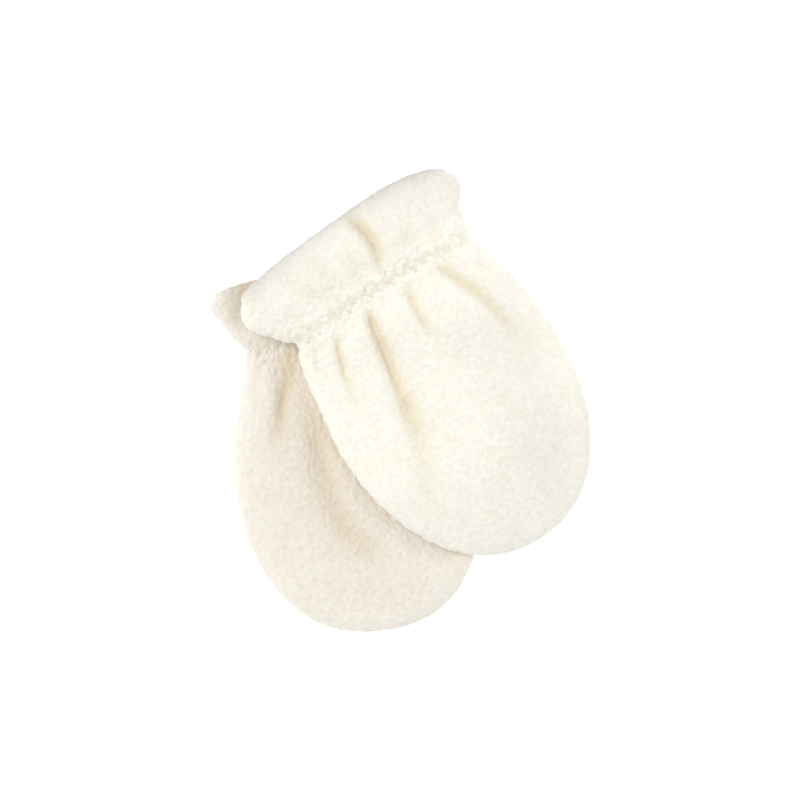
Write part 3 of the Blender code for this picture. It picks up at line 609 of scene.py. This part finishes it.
def valley_relief(panel, x, y):
    """How far the long curved valleys bring the cloth down at plan points."""
    relief = np.zeros_like(x)
    for points, depth, sigma in VALLEYS.get(panel, ()):
        points = np.array(points)
        run = np.concatenate([[0], np.linalg.norm(np.diff(points, axis=0), axis=1).cumsum()])
        share = np.linspace(0, 1, VALLEY_STEPS)
        # a cubic through the valley's four points
        line = [np.polyval(np.polyfit(run / run[-1], column, 3), share) for column in points.T]
        distance = np.hypot(x[..., None] - line[0], y[..., None] - line[1])
        along = share[distance.argmin(axis=-1)]
        grown = smooth(along / VALLEY_FADE) * smooth((1 - along) / VALLEY_FADE)
        relief += depth * grown * np.exp(-(distance.min(axis=-1) / sigma) ** 2)
    return relief


def pucker_relief(panel, x, y):
    """How far the short puckers at the elastic bring the cloth down at plan points."""
    middle = WRIST_MIDDLE_Y[panel.split("_")[0]]
    relief = np.zeros_like(x)
    for place, hand, cuff, depth, width in PUCKERS[panel]:
        spread = 1 + PUCKER_SPREAD * np.abs(y - middle)
        line = place * spread
        reach = np.where(y < middle, hand, cuff)
        fade = np.exp(-((y - middle) / reach) ** 2)
        relief += depth * fade * np.exp(-((x - line) / width) ** 2)
    return relief


def shade_at(panel, x, y, pressed):
    """How far a plan point lies in a crease or close beside the mitten on top, 0 to 1. Painted shade
    makes the cloth warmer and darker there."""
    shade = fold_relief(panel, x, y) / DARK_FOLD + pucker_relief(panel, x, y) / DARK_PUCKER
    shade += valley_relief(panel, x, y) / DARK_VALLEY
    if panel.endswith("front"):
        shade = shade + SIDE_SHADE * pressed(x, y)
    return np.clip(shade, 0.0, DARKEST)


def dim_at(panel, x, y, upwards, inwards, from_hem, pressed):
    """How far a plan point is dulled by painted shade, 0 to 1. Upwards is how far the cloth there
    faces +y, inwards its distance from the side seam, and from_hem how far its row is below the hem's."""
    mitten, which = panel.split("_")
    on_cuff = smooth((y - CUFF_START_Y) / CUFF_STRAIGHT_REACH)
    on_palm = between(x, PALM_DIM_X) * between(inwards, PALM_DIM_INWARDS) * between(y, PALM_DIM_Y)
    dim = CUFF_DIM * on_cuff + HEM_DIM * smooth(upwards)
    dim = dim + BELOW_HEM_DIMS[mitten] * np.exp(-from_hem / BELOW_HEM_REACH)
    dim = dim + CUFF_RIGHT_DIM * on_cuff * smooth(x / CUFF_RIGHT_REACH)
    dim = dim + TIP_DIMS[mitten] * smooth((TIP_DIM_Y - y) / TIP_DIM_REACH)
    dim = dim + PALM_DIMS[mitten] * on_palm
    if which == "front":
        dim = dim + CUFF_SIDE_DIM * on_cuff * pressed(x, y)
    return np.clip(dim, 0.0, 1.0)


def surface(mitten, side, lines, turn_share, flat_share):
    """Outer face of a panel where its plan lines meet its columns, with the wall's normals.

    A column with a turn share below 1 lies on the rounded side, where 0 is the side seam, and the
    others lie on the flat at their flat share of the way to the spine.
    """
    rim, spine, skew = lines
    width = np.linalg.norm(rim - spine, axis=1)
    rim_radius = thickness(mitten, rim[:, 1])[3]
    turn = turn_share * math.pi / 2
    inset = rim_radius[:, None] * (1 - np.cos(turn))
    share = (1 - inset / width[:, None]) * (1 - flat_share)
    is_tip = spine[:, 1:] <= PALM_Y
    share_y = np.where(is_tip, share, share ** ROW_BOW_POWER)
    x = spine[:, None, 0] + (rim - spine)[:, None, 0] * share
    y = spine[:, None, 1] + (rim - spine)[:, None, 1] * share_y
    y += skew[:, None] * share * (1 - share ** 2)

    height, crown, seam, rim_radius, wall, _ = thickness(mitten, y)
    from_seam = (1 - share) * width[:, None]
    rise = height - crown - seam if side > 0 else seam
    slow_rise = crown * crown_share(from_seam) if side > 0 else 0.0
    sin = np.sin(turn) + 0 * share
    z = seam + rise * sin + slow_rise if side > 0 else seam * (1 - sin)
    out = wall_directions(rim, spine, skew)
    level = (rise / rim_radius) * np.cos(turn)
    normal = np.stack([out[:, None, 0] * level, out[:, None, 1] * level, side * sin], axis=2)
    normal /= np.linalg.norm(normal, axis=2, keepdims=True)
    z = z + np.where(sin == 0.0, side * SEAM_GAP / 2, 0.0)
    round_side = rim_radius * turn
    return np.stack([x, y, z], axis=2), normal, wall, from_seam, round_side


def moved_down(panel, points, seam_distance, pressed):
    """Folds, puckers and a load move every layer of the cloth together, and fade at the seam."""
    mitten, which = panel.split("_")
    points = points.copy()
    x, y = points[..., 0], points[..., 1]
    side = 1 if which == "front" else -1
    down = side * (fold_relief(panel, x, y) + valley_relief(panel, x, y) + pucker_relief(panel, x, y))
    if side > 0:
        _, crown, _, _, _, give = thickness(mitten, y)
        give = give - crown * (1 - crown_share(seam_distance))
        down = down * (1 - pressed(x, y)) + pressed(x, y) * give
    points[..., 2] -= smooth(seam_distance / RELIEF_REACH) * down
    return points


# ---- what the upper mitten lies on ----

def to_world(x, y, holder):
    """From a mitten's own plane to the plane of the pair."""
    cos, sin = math.cos(holder["turn"]), math.sin(holder["turn"])
    return holder["x"] + cos * x - sin * y, holder["y"] + sin * x + cos * y


def to_plan(world_x, world_y, holder):
    """From the plane of the pair to a mitten's own plane."""
    cos, sin = math.cos(holder["turn"]), math.sin(holder["turn"])
    x, y = world_x - holder["x"], world_y - holder["y"]
    return cos * x + sin * y, cos * y - sin * x


def border_distance(x, y, border):
    """Distance from plan points to a closed border, positive inside it."""
    shape = np.shape(x)
    x, y = np.ravel(x), np.ravel(y)
    nearest = np.full(x.shape, np.inf)
    inside = np.zeros(x.shape, bool)
    for start, end in zip(border, np.roll(border, -1, axis=0)):
        along = end - start
        to_x, to_y = x - start[0], y - start[1]
        share = np.clip((to_x * along[0] + to_y * along[1]) / (along ** 2).sum(), 0, 1)
        nearest = np.minimum(nearest, np.hypot(to_x - share * along[0], to_y - share * along[1]))
        if start[1] != end[1]:
            crosses = (start[1] > y) != (end[1] > y)
            inside ^= crosses & (to_x < along[0] * to_y / along[1])
    return np.where(inside, nearest, -nearest).reshape(shape)


def spanned_border(mitten, tip):
    """The mitten's outline in its own plane, the turned hem included, straight past the wrist."""
    numbers = np.array([0, 1, len(OUTLINES[mitten]) - 1])
    rim, spine, skew = half_lines(mitten, numbers, tip, BORDER_TIP_POINTS)
    hem_reach = thickness(mitten, spine[0, 1])[4] + PLY_GAP / 2
    share = np.linspace(1, -1, BORDER_HEM_POINTS)
    end = np.where(share[:, None] > 0, rim[-1], rim[0])
    hem_x = SPINE_X + np.abs(share) * (end[:, 0] - SPINE_X)
    hem_y = spine[0, 1] + (end[:, 1] - spine[0, 1]) * np.abs(share) ** ROW_BOW_POWER
    hem_y += skew[-1] * share * (1 - share ** 2) + hem_reach
    return np.concatenate([rim, np.stack([hem_x, hem_y], axis=1)])


def table_top(x, y):
    """The flat surface that the lower mitten lies on."""
    return np.zeros_like(x)


def draped_over(lower):
    """Height of a cloth laid over the lower mitten, as a function of the pair's plane."""
    border = spanned_border("lower", lower["tip"])
    y, height, _, _, _, _, give = np.array(THICKNESSES["lower"]).T
    pressed_height = height - give + LIE_GAP
    hand_top = pressed_height[y < HAND_END_Y].max()
    cuff_top = pressed_height.max()

    def height_at(world_x, world_y):
        x, y = to_plan(world_x, world_y, lower)
        inward = border_distance(x, y, border)
        top = hand_top + (cuff_top - hand_top) * between(y, DRAPE_CUFF_Y)
        return top * ease((inward + DRAPE_OUT) / (DRAPE_OUT + DRAPE_IN))

    return height_at


def unpressed(x, y):
    """Nothing lies on the upper mitten."""
    return np.zeros_like(x)


def pressed_under(upper, lower):
    """How much the upper mitten weighs on the lower one, 0 to 1, as a function of its plane."""
    border = spanned_border("upper", upper["tip"])

    def share_at(x, y):
        world_x, world_y = to_world(x, y, lower)
        inward = border_distance(*to_plan(world_x, world_y, upper), border)
        return ease((inward + PRESS_OUT) / (PRESS_OUT + PRESS_IN))

    return share_at


# ---- a panel's cloth ----

def joined(left, right):
    """Full rows from their left and right half lines, which meet at the spine."""
    return np.concatenate([left, right[:, -2::-1]], axis=1)


def panel_faces(panel, holder):
    """Both faces of a panel's cloth on one layout, rows from the hem's raw edge to the tip. The last
    row, along the spine to the tip, has the same points on its left and on its right half. Also
    gives the outer face's directions, how much of the nap is sunk into each row, the rows' middles
    and each point's distance from the side seam."""
    mitten, which = panel.split("_")
    side = 1 if which == "front" else -1
    step, _, _, down = CLOTHS[panel]
    hem_y = OUTLINES[mitten][0][0]
    middle_y = np.linspace(hem_y, PALM_Y, round((hem_y - PALM_Y) / step) + 1)
    count = round(TIP_HALF / step)
    lines = half_lines(mitten, row_at(mitten, middle_y), holder["tip"], count)
    middle_y = lines[1][:len(middle_y) + count, 1]
    round_columns = round(ROUND_SIDE / step)
    flat_columns = round(FLAT_HALF / step)
    turn_share = np.concatenate([np.linspace(0, 1, round_columns + 1), np.ones(flat_columns)])
    flat_share = np.concatenate([np.zeros(round_columns + 1), np.linspace(0, 1, flat_columns + 1)[1:]])
    outer, normal, wall, from_seam, round_side = surface(mitten, side, lines, turn_share, flat_share)
    sink = SEAM_SINK * np.exp(-(round_side / SEAM_SINK_REACH) ** 2) * (turn_share < 1)
    outer = outer - sink[..., None] * normal

    def moved(points, seam_distance):
        return moved_down(panel, points, seam_distance, holder["pressed"])

    depth = {"outside": 0.0 * wall, "inside": wall,
             "hem inside": wall + PLY_GAP, "hem outside": 2 * wall + PLY_GAP}
    layers = {name: moved(outer - d[..., None] * normal, from_seam) for name, d in depth.items()}

    def rows_of(values):
        return joined(values[:len(middle_y)], values[:-len(middle_y) - 1:-1])

    # the hem turns round a half circle from the outer cloth to the ply inside it
    ends = [0, -1]
    onward = np.array([0.0, 1.0, 0.0]) - normal[ends, :, 1, None] * normal[ends]
    onward /= np.linalg.norm(onward, axis=2, keepdims=True)
    turn_radius = (wall[ends] + PLY_GAP / 2)[..., None]
    centre = outer[ends] - turn_radius * normal[ends]
    turns = round(HEM_TURN / step)
    turned = {"outside": [], "inside": [], "direction": []}
    for angle in math.pi * np.arange(turns, 0, -1) / (turns + 1):
        arm = math.cos(angle) * normal[ends] + math.sin(angle) * onward
        turned["direction"].append(joined(arm[:1], arm[1:]))
        for name, radius in (("outside", turn_radius), ("inside", PLY_GAP / 2)):
            layer = moved(centre + radius * arm, from_seam[ends])
            turned[name].append(joined(layer[:1], layer[1:]))

    hem_rows = np.flatnonzero(middle_y > HEM_END_Y)[::HEM_ROW_STEP][::-1]
    cloth = {"middle_y": middle_y, "hem_count": len(hem_rows) + turns}
    for name in ("outside", "inside"):
        hem = rows_of(layers["hem " + name])[hem_rows]
        cloth[name] = np.concatenate([hem, *turned[name], rows_of(layers[name])])
    direction = rows_of(normal)
    cloth["direction"] = np.concatenate([-direction[hem_rows], *turned["direction"], direction])
    cloth["sunk"] = np.where(np.arange(len(cloth["outside"])) < len(hem_rows), 1.0, down)
    inwards = rows_of(from_seam)
    at_turn = [joined(from_seam[:1], from_seam[-1:])] * turns
    cloth["from_seam"] = np.concatenate([inwards[hem_rows], *at_turn, inwards])
    return cloth


def stitch_points(cloth, mitten):
    """The zigzag from a panel's left seam to its right one: points on the cloth, the directions
    away from it, and how near each point is to a needle hole, 0 to 1."""
    first = cloth["hem_count"]
    rows = cloth["outside"][first:]
    directions = cloth["direction"][first:]
    wrist = WRIST_MIDDLE_Y[mitten]

    def place(middle_y, share):
        """Point and direction at a share of the way along the row that has this middle."""
        row = np.interp(-middle_y, -cloth["middle_y"], np.arange(len(rows)))
        parts = []
        for near in (math.floor(row), math.floor(row) + 1):
            run = np.linalg.norm(np.diff(rows[near], axis=0), axis=1).cumsum()
            column = np.interp(share * run[-1], np.concatenate([[0], run]), np.arange(len(run) + 1))
            low = min(int(column), len(run) - 1)
            both = np.concatenate([rows[near], directions[near]], axis=1)
            parts.append(both[low] + (column - low) * (both[low + 1] - both[low]))
        return parts[0] + (row - math.floor(row)) * (parts[1] - parts[0])

    middle_row = rows[np.argmin(np.abs(cloth["middle_y"] - wrist))]
    full = np.linalg.norm(np.diff(middle_row, axis=0), axis=1).sum()
    zigs = 2 * round(full / STITCH_PITCH)
    count = round(math.hypot(full, 2 * STITCH_REACH * zigs) / THREAD_STEP)
    phase = np.linspace(0, zigs, count + 1)
    offset = STITCH_REACH * (2 * np.abs((phase + 1) % 2 - 1) - 1)
    found = np.array([place(wrist + up, share) for up, share in zip(-offset, phase / zigs)])
    to_hole = np.abs(phase - np.round(phase))
    return found[:, :3], found[:, 3:], np.exp(-(to_hole / HOLE_SHARE) ** 2)


def stitched_in(points, directions, stitches):
    """Points pressed in along the thread and more at its needle holes, and how near each point is
    to the thread, 0 to 1."""
    path, _, near_hole = stitches
    flat = points.reshape(-1, 3).copy()
    from_wrist = np.abs(flat[:, 1] - path[:, 1].mean())
    near = np.flatnonzero(from_wrist < STITCH_REACH + STITCH_MARGIN)
    distance = np.linalg.norm(flat[near, None] - path[None], axis=2)
    beside = np.zeros(len(flat))
    beside[near] = np.exp(-(distance.min(axis=1) / STITCH_WIDTH) ** 2)
    holes = path[np.flatnonzero(near_hole > AT_HOLE)]
    to_hole = np.linalg.norm(flat[near, None] - holes[None], axis=2).min(axis=1)
    groove = STITCH_GROOVE * beside[near] + NEEDLE_DEPTH * np.exp(-(to_hole / NEEDLE_WIDTH) ** 2)
    flat[near] -= groove[:, None] * directions.reshape(-1, 3)[near]
    return flat.reshape(points.shape), beside.reshape(points.shape[:-1])


def lifted(points, holder):
    """Points in metres, raised by what the mitten lies on at their place in the plane, and never
    below the table."""
    points = points.copy()
    points[..., 2] += holder["ground"](*to_world(points[..., 0], points[..., 1], holder))
    points[..., 2] = np.maximum(points[..., 2], 0.0)
    world_x, world_y = to_world(points[..., 0], points[..., 1], holder)
    return np.stack([world_x, world_y, points[..., 2]], axis=-1) * MM


def skin_faces(grid):
    """Faces over a grid of vertex numbers."""
    corners = grid[:-1, :-1], grid[1:, :-1], grid[1:, 1:], grid[:-1, 1:]
    return np.stack(corners, axis=-1).reshape(-1, 4).tolist()


def border_of(grid):
    """Border in order: down the left side to the tip, up the right side and back along the hem."""
    return np.concatenate([grid[:, 0], grid[-2::-1, -1], grid[0, -2:0:-1]])


def spread_out(count, every):
    """Numbers from 0 to count - 1, about every-th, with both ends."""
    return np.unique(np.linspace(0, count - 1, max(2, round(count / every))).round().astype(int))


def edge_faces(fine, coarse, renumbered):
    """Triangles that close the cloth's edge, from its fine outer border to its coarse inner one."""
    place = {vertex: k for k, vertex in enumerate(fine)}
    faces = []
    for a, b in zip(coarse, np.roll(coarse, -1)):
        start, end = place[a], place[b]
        end += len(fine) if end <= start else 0
        middle = (start + end) // 2
        run = [fine[k % len(fine)] for k in range(start, end + 1)]
        for k, (left, right) in enumerate(zip(run, run[1:])):
            faces.append([left, right, renumbered[a if start + k < middle else b]])
        faces.append([fine[middle % len(fine)], renumbered[b], renumbered[a]])
    return faces


def new_object(name, vertices, faces, material):
    """A smooth mesh object with its faces turned outwards."""
    mesh = bpy.data.meshes.new(name)
    mesh.from_pydata([tuple(v) for v in vertices], [], faces)
    shape = bmesh.new()
    shape.from_mesh(mesh)
    bmesh.ops.recalc_face_normals(shape, faces=shape.faces)
    shape.to_mesh(mesh)
    shape.free()
    mesh.shade_smooth()
    mesh.materials.append(material)
    made = bpy.data.objects.new(name, mesh)
    bpy.context.collection.objects.link(made)
    return made


def build_panel(panel, holder, material):
    """One panel's cloth with its folds, gathers, stitch marks and nap. Gives it and its zigzag."""
    mitten = panel.split("_")[0]
    _, coarse, nap, _ = CLOTHS[panel]
    cloth = panel_faces(panel, holder)
    rows = cloth["outside"].copy()
    stitches = stitch_points(cloth, mitten)
    first = cloth["hem_count"]
    beside_thread = np.zeros(rows.shape[:2])
    rows[first:], beside_thread[first:] = stitched_in(
        rows[first:], cloth["direction"][first:], stitches)

    # the last row is folded at the spine, so its right half has its left half's vertices
    half = rows.shape[1] // 2 + 1
    grid = np.arange(rows.shape[0] * rows.shape[1]).reshape(rows.shape[:2])
    grid[-1, half:] = grid[-1, half - 2::-1]

    def listed(values):
        return np.concatenate([values[:-1].reshape(-1, *values.shape[2:]), values[-1, :half]])

    outside = listed(rows)
    sunk = listed(np.repeat(cloth["sunk"][:, None], rows.shape[1], axis=1))
    curls = nap_height(outside, NAP_SEEDS[panel])
    bunched = RUCHE * ruche_height(outside, outside[:, 1] - WRIST_MIDDLE_Y[mitten], NAP_SEEDS[panel])
    bunched[sunk == 1.0] = 0.0   # no lumps on a face that rests or inside the cuff
    # the thread keeps the nap and the lumps down
    loose = 1.0 - listed(beside_thread)
    relief = nap * (curls * (THREAD_NAP + (1.0 - THREAD_NAP) * loose) - sunk) + bunched * loose
    outside = outside + relief[:, None] * listed(cloth["direction"])
    # painted shade, warmer and darker, in the creases and beside the mitten on top
    shade = shade_at(panel, outside[:, 0], outside[:, 1], holder["pressed"])
    # painted shade at the dims
    upwards = listed(cloth["direction"])[:, 1]
    from_hem = np.concatenate([np.zeros(first), cloth["middle_y"][0] - cloth["middle_y"]])
    from_hem = listed(np.repeat(from_hem[:, None], rows.shape[1], axis=1))
    inwards = listed(cloth["from_seam"])
    dim = dim_at(panel, outside[:, 0], outside[:, 1], upwards, inwards, from_hem, holder["pressed"])
    # painted shade on a mitten away from its sides
    mitten_shade = SIDE_MITTEN_SHADE + (1.0 - SIDE_MITTEN_SHADE) * smooth(inwards / MITTEN_SHADE_REACH)
    inside = listed(cloth["inside"])

    # the inner face keeps every coarse-th line and column of the same layout
    half_columns = spread_out(half, coarse)
    columns = np.unique(np.concatenate([half_columns, rows.shape[1] - 1 - half_columns]))
    coarse_grid = grid[np.ix_(spread_out(len(grid), coarse), columns)]
    kept = np.unique(coarse_grid)
    renumbered = {vertex: len(outside) + k for k, vertex in enumerate(kept)}
    faces = skin_faces(grid)
    for face in skin_faces(coarse_grid):
        faces.append([renumbered[vertex] for vertex in reversed(face)])
    faces += edge_faces(border_of(grid), border_of(coarse_grid), renumbered)

    vertices = lifted(np.concatenate([outside, inside[kept]]), holder)
    piece = new_object(panel + "_cloth", vertices, faces, material)
    for name, values in (("nap", curls), ("shade", shade), ("dim", dim), ("mitten_shade", mitten_shade)):
        layer = piece.data.attributes.new(name, "FLOAT", "POINT")
        layer.data.foreach_set("value", np.concatenate([values, np.zeros(len(kept))]))
    return piece, stitches


def build_stitching(mitten, front, back, holder, material):
    """The zigzag round one mitten's wrist: two plies twisted together, in one closed round."""
    path, directions, near_hole = (
        np.concatenate([ahead, returning[-2:0:-1]]) for ahead, returning in zip(front, back))
    path = (np.roll(path, 1, axis=0) + 2 * path + np.roll(path, -1, axis=0)) / 4
    # underneath, the thread lies in the cloth, which rests on it
    under = np.clip(-directions[:, 2], 0, 1)
    rise = THREAD_RISE - under * (THREAD_RISE + THREAD_SUNK) - near_hole * NEEDLE_DEPTH * (1 - under)
    path = path + rise[:, None] * directions
    along = np.roll(path, -1, axis=0) - np.roll(path, 1, axis=0)
    run = np.linalg.norm(np.diff(path, axis=0, append=path[:1]), axis=1)
    along /= np.linalg.norm(along, axis=1, keepdims=True)
    up = directions - (directions * along).sum(axis=1, keepdims=True) * along
    up /= np.linalg.norm(up, axis=1, keepdims=True)
    aside = np.cross(along, up)
    turns = round(run.sum() / THREAD_TWIST)
    twist = 2 * math.pi * turns * np.concatenate([[0], run.cumsum()[:-1]]) / run.sum()

    def round_with(angle, radius):
        return radius * (np.cos(angle)[..., None] * up + np.sin(angle)[..., None] * aside)

    vertices, faces = [], []
    ring = 2 * math.pi * np.arange(THREAD_SIDES) / THREAD_SIDES
    for ply in range(2):
        centre = path + round_with(twist + ply * math.pi, THREAD_RADIUS)
        spokes = [round_with(np.full(len(path), angle), THREAD_RADIUS) for angle in ring]
        tube = np.stack([centre + spoke for spoke in spokes], axis=1)
        numbers = ply * len(path) * THREAD_SIDES + np.arange(len(path) * THREAD_SIDES)
        numbers = numbers.reshape(len(path), THREAD_SIDES)
        after, beside = np.roll(numbers, -1, axis=0), np.roll(numbers, -1, axis=1)
        both = np.roll(after, -1, axis=1)
        faces += np.stack([numbers, beside, both, after], axis=-1).reshape(-1, 4).tolist()
        vertices.append(tube.reshape(-1, 3))
    vertices = lifted(np.concatenate(vertices), holder)
    return new_object(mitten + "_stitching", vertices, faces, material)


# ---- materials ----

class Nodes:
    """Short calls for a material's nodes."""

    def __init__(self, name):
        self.material = bpy.data.materials.new(name)
        self.material.use_nodes = True
        self.tree = self.material.node_tree
        self.shader = self.tree.nodes["Principled BSDF"]

    def add(self, kind, settings=None, **inputs):
        """A node with its inputs set to values, or linked where an input is another's output."""
        node = self.tree.nodes.new("ShaderNode" + kind)
        for name, value in (settings or {}).items():
            setattr(node, name, value)
        for name, value in inputs.items():
            self.put(node.inputs[name.replace("_", " ")], value)
        return node

    def put(self, socket, value):
        if isinstance(value, bpy.types.NodeSocket):
            self.tree.links.new(value, socket)
        else:
            socket.default_value = value

    def math(self, operation, first, second=0.0):
        node = self.add("Math", {"operation": operation})
        self.put(node.inputs[0], first)
        self.put(node.inputs[1], second)
        return node.outputs[0]

    def mix(self, share, first, second, blend="MIX"):
        """The first colour turned into the second by a share, or multiplied by it."""
        node = self.add("Mix", {"data_type": "RGBA", "blend_type": blend})
        self.put(node.inputs[0], share)
        self.put(node.inputs[6], first)
        self.put(node.inputs[7], second)
        return node.outputs[2]

    def at_points(self, name):
        """The values that the mesh holds under a name."""
        return self.add("Attribute", {"attribute_name": name}).outputs["Fac"]


def fleece_material(mitten, turn):
    """Cream polar fleece: lumps of the nap in the colour and as fine relief, with painted light on the
    curls and painted shade in their hollows, painted shade in the creases, at the dims and on a mitten
    away from its sides, and a soft sheen."""
    nodes = Nodes(mitten + "_fleece")
    place = nodes.add("TexCoord").outputs["Object"]
    mapping = nodes.add("Mapping", {"vector_type": "TEXTURE"}, Vector=place,
                        Rotation=(0.0, 0.0, turn), Scale=(1.0, NAP_ALONG / NAP_ACROSS, 1.0))
    across = mapping.outputs["Vector"]
    lump = nodes.add("TexNoise", Vector=across, Scale=LUMP_SCALE, Detail=1.0,
                     Roughness=0.5, Distortion=0.3).outputs["Fac"]
    fibre_noise = nodes.add("TexNoise", Vector=across, Scale=FIBRE_SCALE, Detail=2.0,
                            Roughness=0.6, Distortion=0.8).outputs["Fac"]
    drift = nodes.add("TexNoise", Vector=across, Scale=DRIFT_SCALE, Detail=2.0).outputs["Fac"]
    height = nodes.math("ADD", nodes.math("MULTIPLY", lump, LUMP_RELIEF),
                        nodes.math("MULTIPLY", fibre_noise, FIBRE_RELIEF))
    # curls and lumps lighter and the hollows darker, as painted light and shade; the drifts are the
    # cloth's own tone
    tone = nodes.math("ADD", nodes.math("MULTIPLY", nodes.at_points("nap"), CURL_TONE),
                      nodes.math("MULTIPLY", lump, LUMP_TONE))
    tone = nodes.math("ADD", tone, nodes.math("MULTIPLY", drift, DRIFT_TONE))
    colour = nodes.mix(tone, HOLLOW_COLOUR, CURL_COLOUR)
    # painted shade in the creases and beside the mitten on top
    colour = nodes.mix(nodes.at_points("shade"), colour, CREASE_SHADE_COLOUR, "MULTIPLY")
    # painted shade at the dims
    colour = nodes.mix(nodes.at_points("dim"), colour, DIM_SHADE_COLOURS[mitten], "MULTIPLY")
    # painted shade on a mitten away from its sides
    colour = nodes.mix(nodes.at_points("mitten_shade"), colour, MITTEN_SHADE_COLOURS[mitten], "MULTIPLY")
    nodes.put(nodes.shader.inputs["Base Color"], colour)
    bump = nodes.add("Bump", Strength=0.55, Distance=BUMP_DEPTH, Height=height)
    nodes.put(nodes.shader.inputs["Normal"], bump.outputs["Normal"])
    set_cloth_sheen(nodes.shader, roughness=0.95, sheen=0.30)
    nodes.shader.inputs["Subsurface Weight"].default_value = 0.2
    nodes.shader.inputs["Subsurface Radius"].default_value = (1.0, 0.8, 0.55)
    nodes.shader.inputs["Subsurface Scale"].default_value = 0.0012
    return nodes.material


def set_cloth_sheen(shader, roughness, sheen):
    """The soft, slightly warm sheen of fibres."""
    shader.inputs["Roughness"].default_value = roughness
    shader.inputs["Specular IOR Level"].default_value = 0.15
    shader.inputs["Sheen Weight"].default_value = sheen
    shader.inputs["Sheen Roughness"].default_value = 0.5
    shader.inputs["Sheen Tint"].default_value = (1.0, 0.98, 0.93, 1.0)


def thread_material(mitten):
    """Spun polyester thread in the fleece's cream, with fine lengthwise streaks."""
    nodes = Nodes(mitten + "_thread")
    place = nodes.add("TexCoord").outputs["Object"]
    streaks = nodes.add("TexNoise", Vector=place, Scale=STREAK_SCALE, Detail=2.0).outputs["Fac"]
    colour = nodes.mix(streaks, *THREAD_COLOURS)
    # the lower mitten's painted shade on its thread
    colour = nodes.mix(1.0, colour, MITTEN_SHADE_COLOURS[mitten], "MULTIPLY")
    nodes.put(nodes.shader.inputs["Base Color"], colour)
    bump = nodes.add("Bump", Strength=0.4, Distance=THREAD_BUMP_DEPTH, Height=streaks)
    nodes.put(nodes.shader.inputs["Normal"], bump.outputs["Normal"])
    set_cloth_sheen(nodes.shader, roughness=0.6, sheen=0.15)
    return nodes.material


def floor_material():
    """White paper. It glows by itself as well, so that it burns out to white as in the photograph."""
    nodes = Nodes("white_paper")
    grain = nodes.add("TexNoise", Scale=GRAIN_SCALE, Detail=2.0).outputs["Fac"]
    nodes.put(nodes.shader.inputs["Base Color"], nodes.mix(grain, *PAPER_COLOURS))
    nodes.shader.inputs["Roughness"].default_value = 1.0
    nodes.shader.inputs["Specular IOR Level"].default_value = 0.0
    nodes.shader.inputs["Emission Color"].default_value = (1.0, 1.0, 1.0, 1.0)
    nodes.shader.inputs["Emission Strength"].default_value = PAPER_GLOW
    return nodes.material


# ---- studio ----

def build_floor():
    """The paper under the pair, which is no piece of it."""
    mesh = bpy.data.meshes.new("paper_floor")
    signs = (-1, -1), (1, -1), (1, 1), (-1, 1)
    corners = [(x * FLOOR_REACH, y * FLOOR_REACH, 0.0) for x, y in signs]
    mesh.from_pydata(corners, [], [(0, 1, 2, 3)])
    mesh.materials.append(floor_material())
    floor = bpy.data.objects.new("paper_floor", mesh)
    bpy.context.collection.objects.link(floor)


def add_light(name, place, aim, size, power, colour):
    """A square soft box at a place, turned to a point."""
    light = bpy.data.lights.new(name, "AREA")
    light.shape = "SQUARE"
    light.size = size
    light.energy = power
    light.color = colour
    lamp = bpy.data.objects.new(name, light)
    bpy.context.collection.objects.link(lamp)
    lamp.location = place
    lamp.rotation_euler = (Vector(aim) - Vector(place)).to_track_quat("-Z", "Y").to_euler()


def build_studio():
    """White light from all round, the soft boxes and the paper."""
    world = bpy.data.worlds.new("studio")
    world.use_nodes = True
    background = world.node_tree.nodes["Background"]
    background.inputs["Color"].default_value = (1.0, 1.0, 1.0, 1.0)
    background.inputs["Strength"].default_value = ROOM_LIGHT
    bpy.context.scene.world = world
    for row in LIGHTS:
        add_light(*row)
    build_floor()


def build_camera():
    """Straight down from high above, as the photograph looks."""
    camera = bpy.data.cameras.new("camera")
    camera.sensor_width = SENSOR
    camera.lens = SENSOR * CAMERA_ABOVE / (IMAGE_WIDTH * PIXEL)
    camera.clip_end = 10.0
    eye = bpy.data.objects.new("camera", camera)
    bpy.context.collection.objects.link(eye)
    eye.location = (VIEW_MIDDLE[0], VIEW_MIDDLE[1], CAMERA_ABOVE + CLOTH_LEVEL)
    bpy.context.scene.camera = eye
    bpy.context.scene.view_settings.view_transform = "Standard"


# ---- the pair ----

def mitten_holders():
    """Each mitten's place, tip sizes, the height that it lies on and what weighs on it."""
    holders = {}
    for name, x, y, turn, tip_length, left_power, right_power in MITTENS:
        tip = {"length": tip_length, "left power": left_power, "right power": right_power}
        holders[name] = {"x": x, "y": y, "turn": math.radians(turn), "tip": tip}
    lower, upper = holders["lower"], holders["upper"]
    lower.update(ground=table_top, pressed=pressed_under(upper, lower))
    upper.update(ground=draped_over(lower), pressed=unpressed)
    return holders


def main():
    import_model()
    build_camera()
    build_studio()
    for name, holder in mitten_holders().items():
        fleece = fleece_material(name, holder["turn"])
        thread = thread_material(name)
        zigzags = {}
        for which in ("back", "front"):
            panel = f"{name}_{which}"
            piece, zigzags[which] = build_panel(panel, holder, fleece)
            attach(piece, "root")
            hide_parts(panel + "_panel")
        stitching = build_stitching(name, zigzags["front"], zigzags["back"], holder, thread)
        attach(stitching, "root")


main()
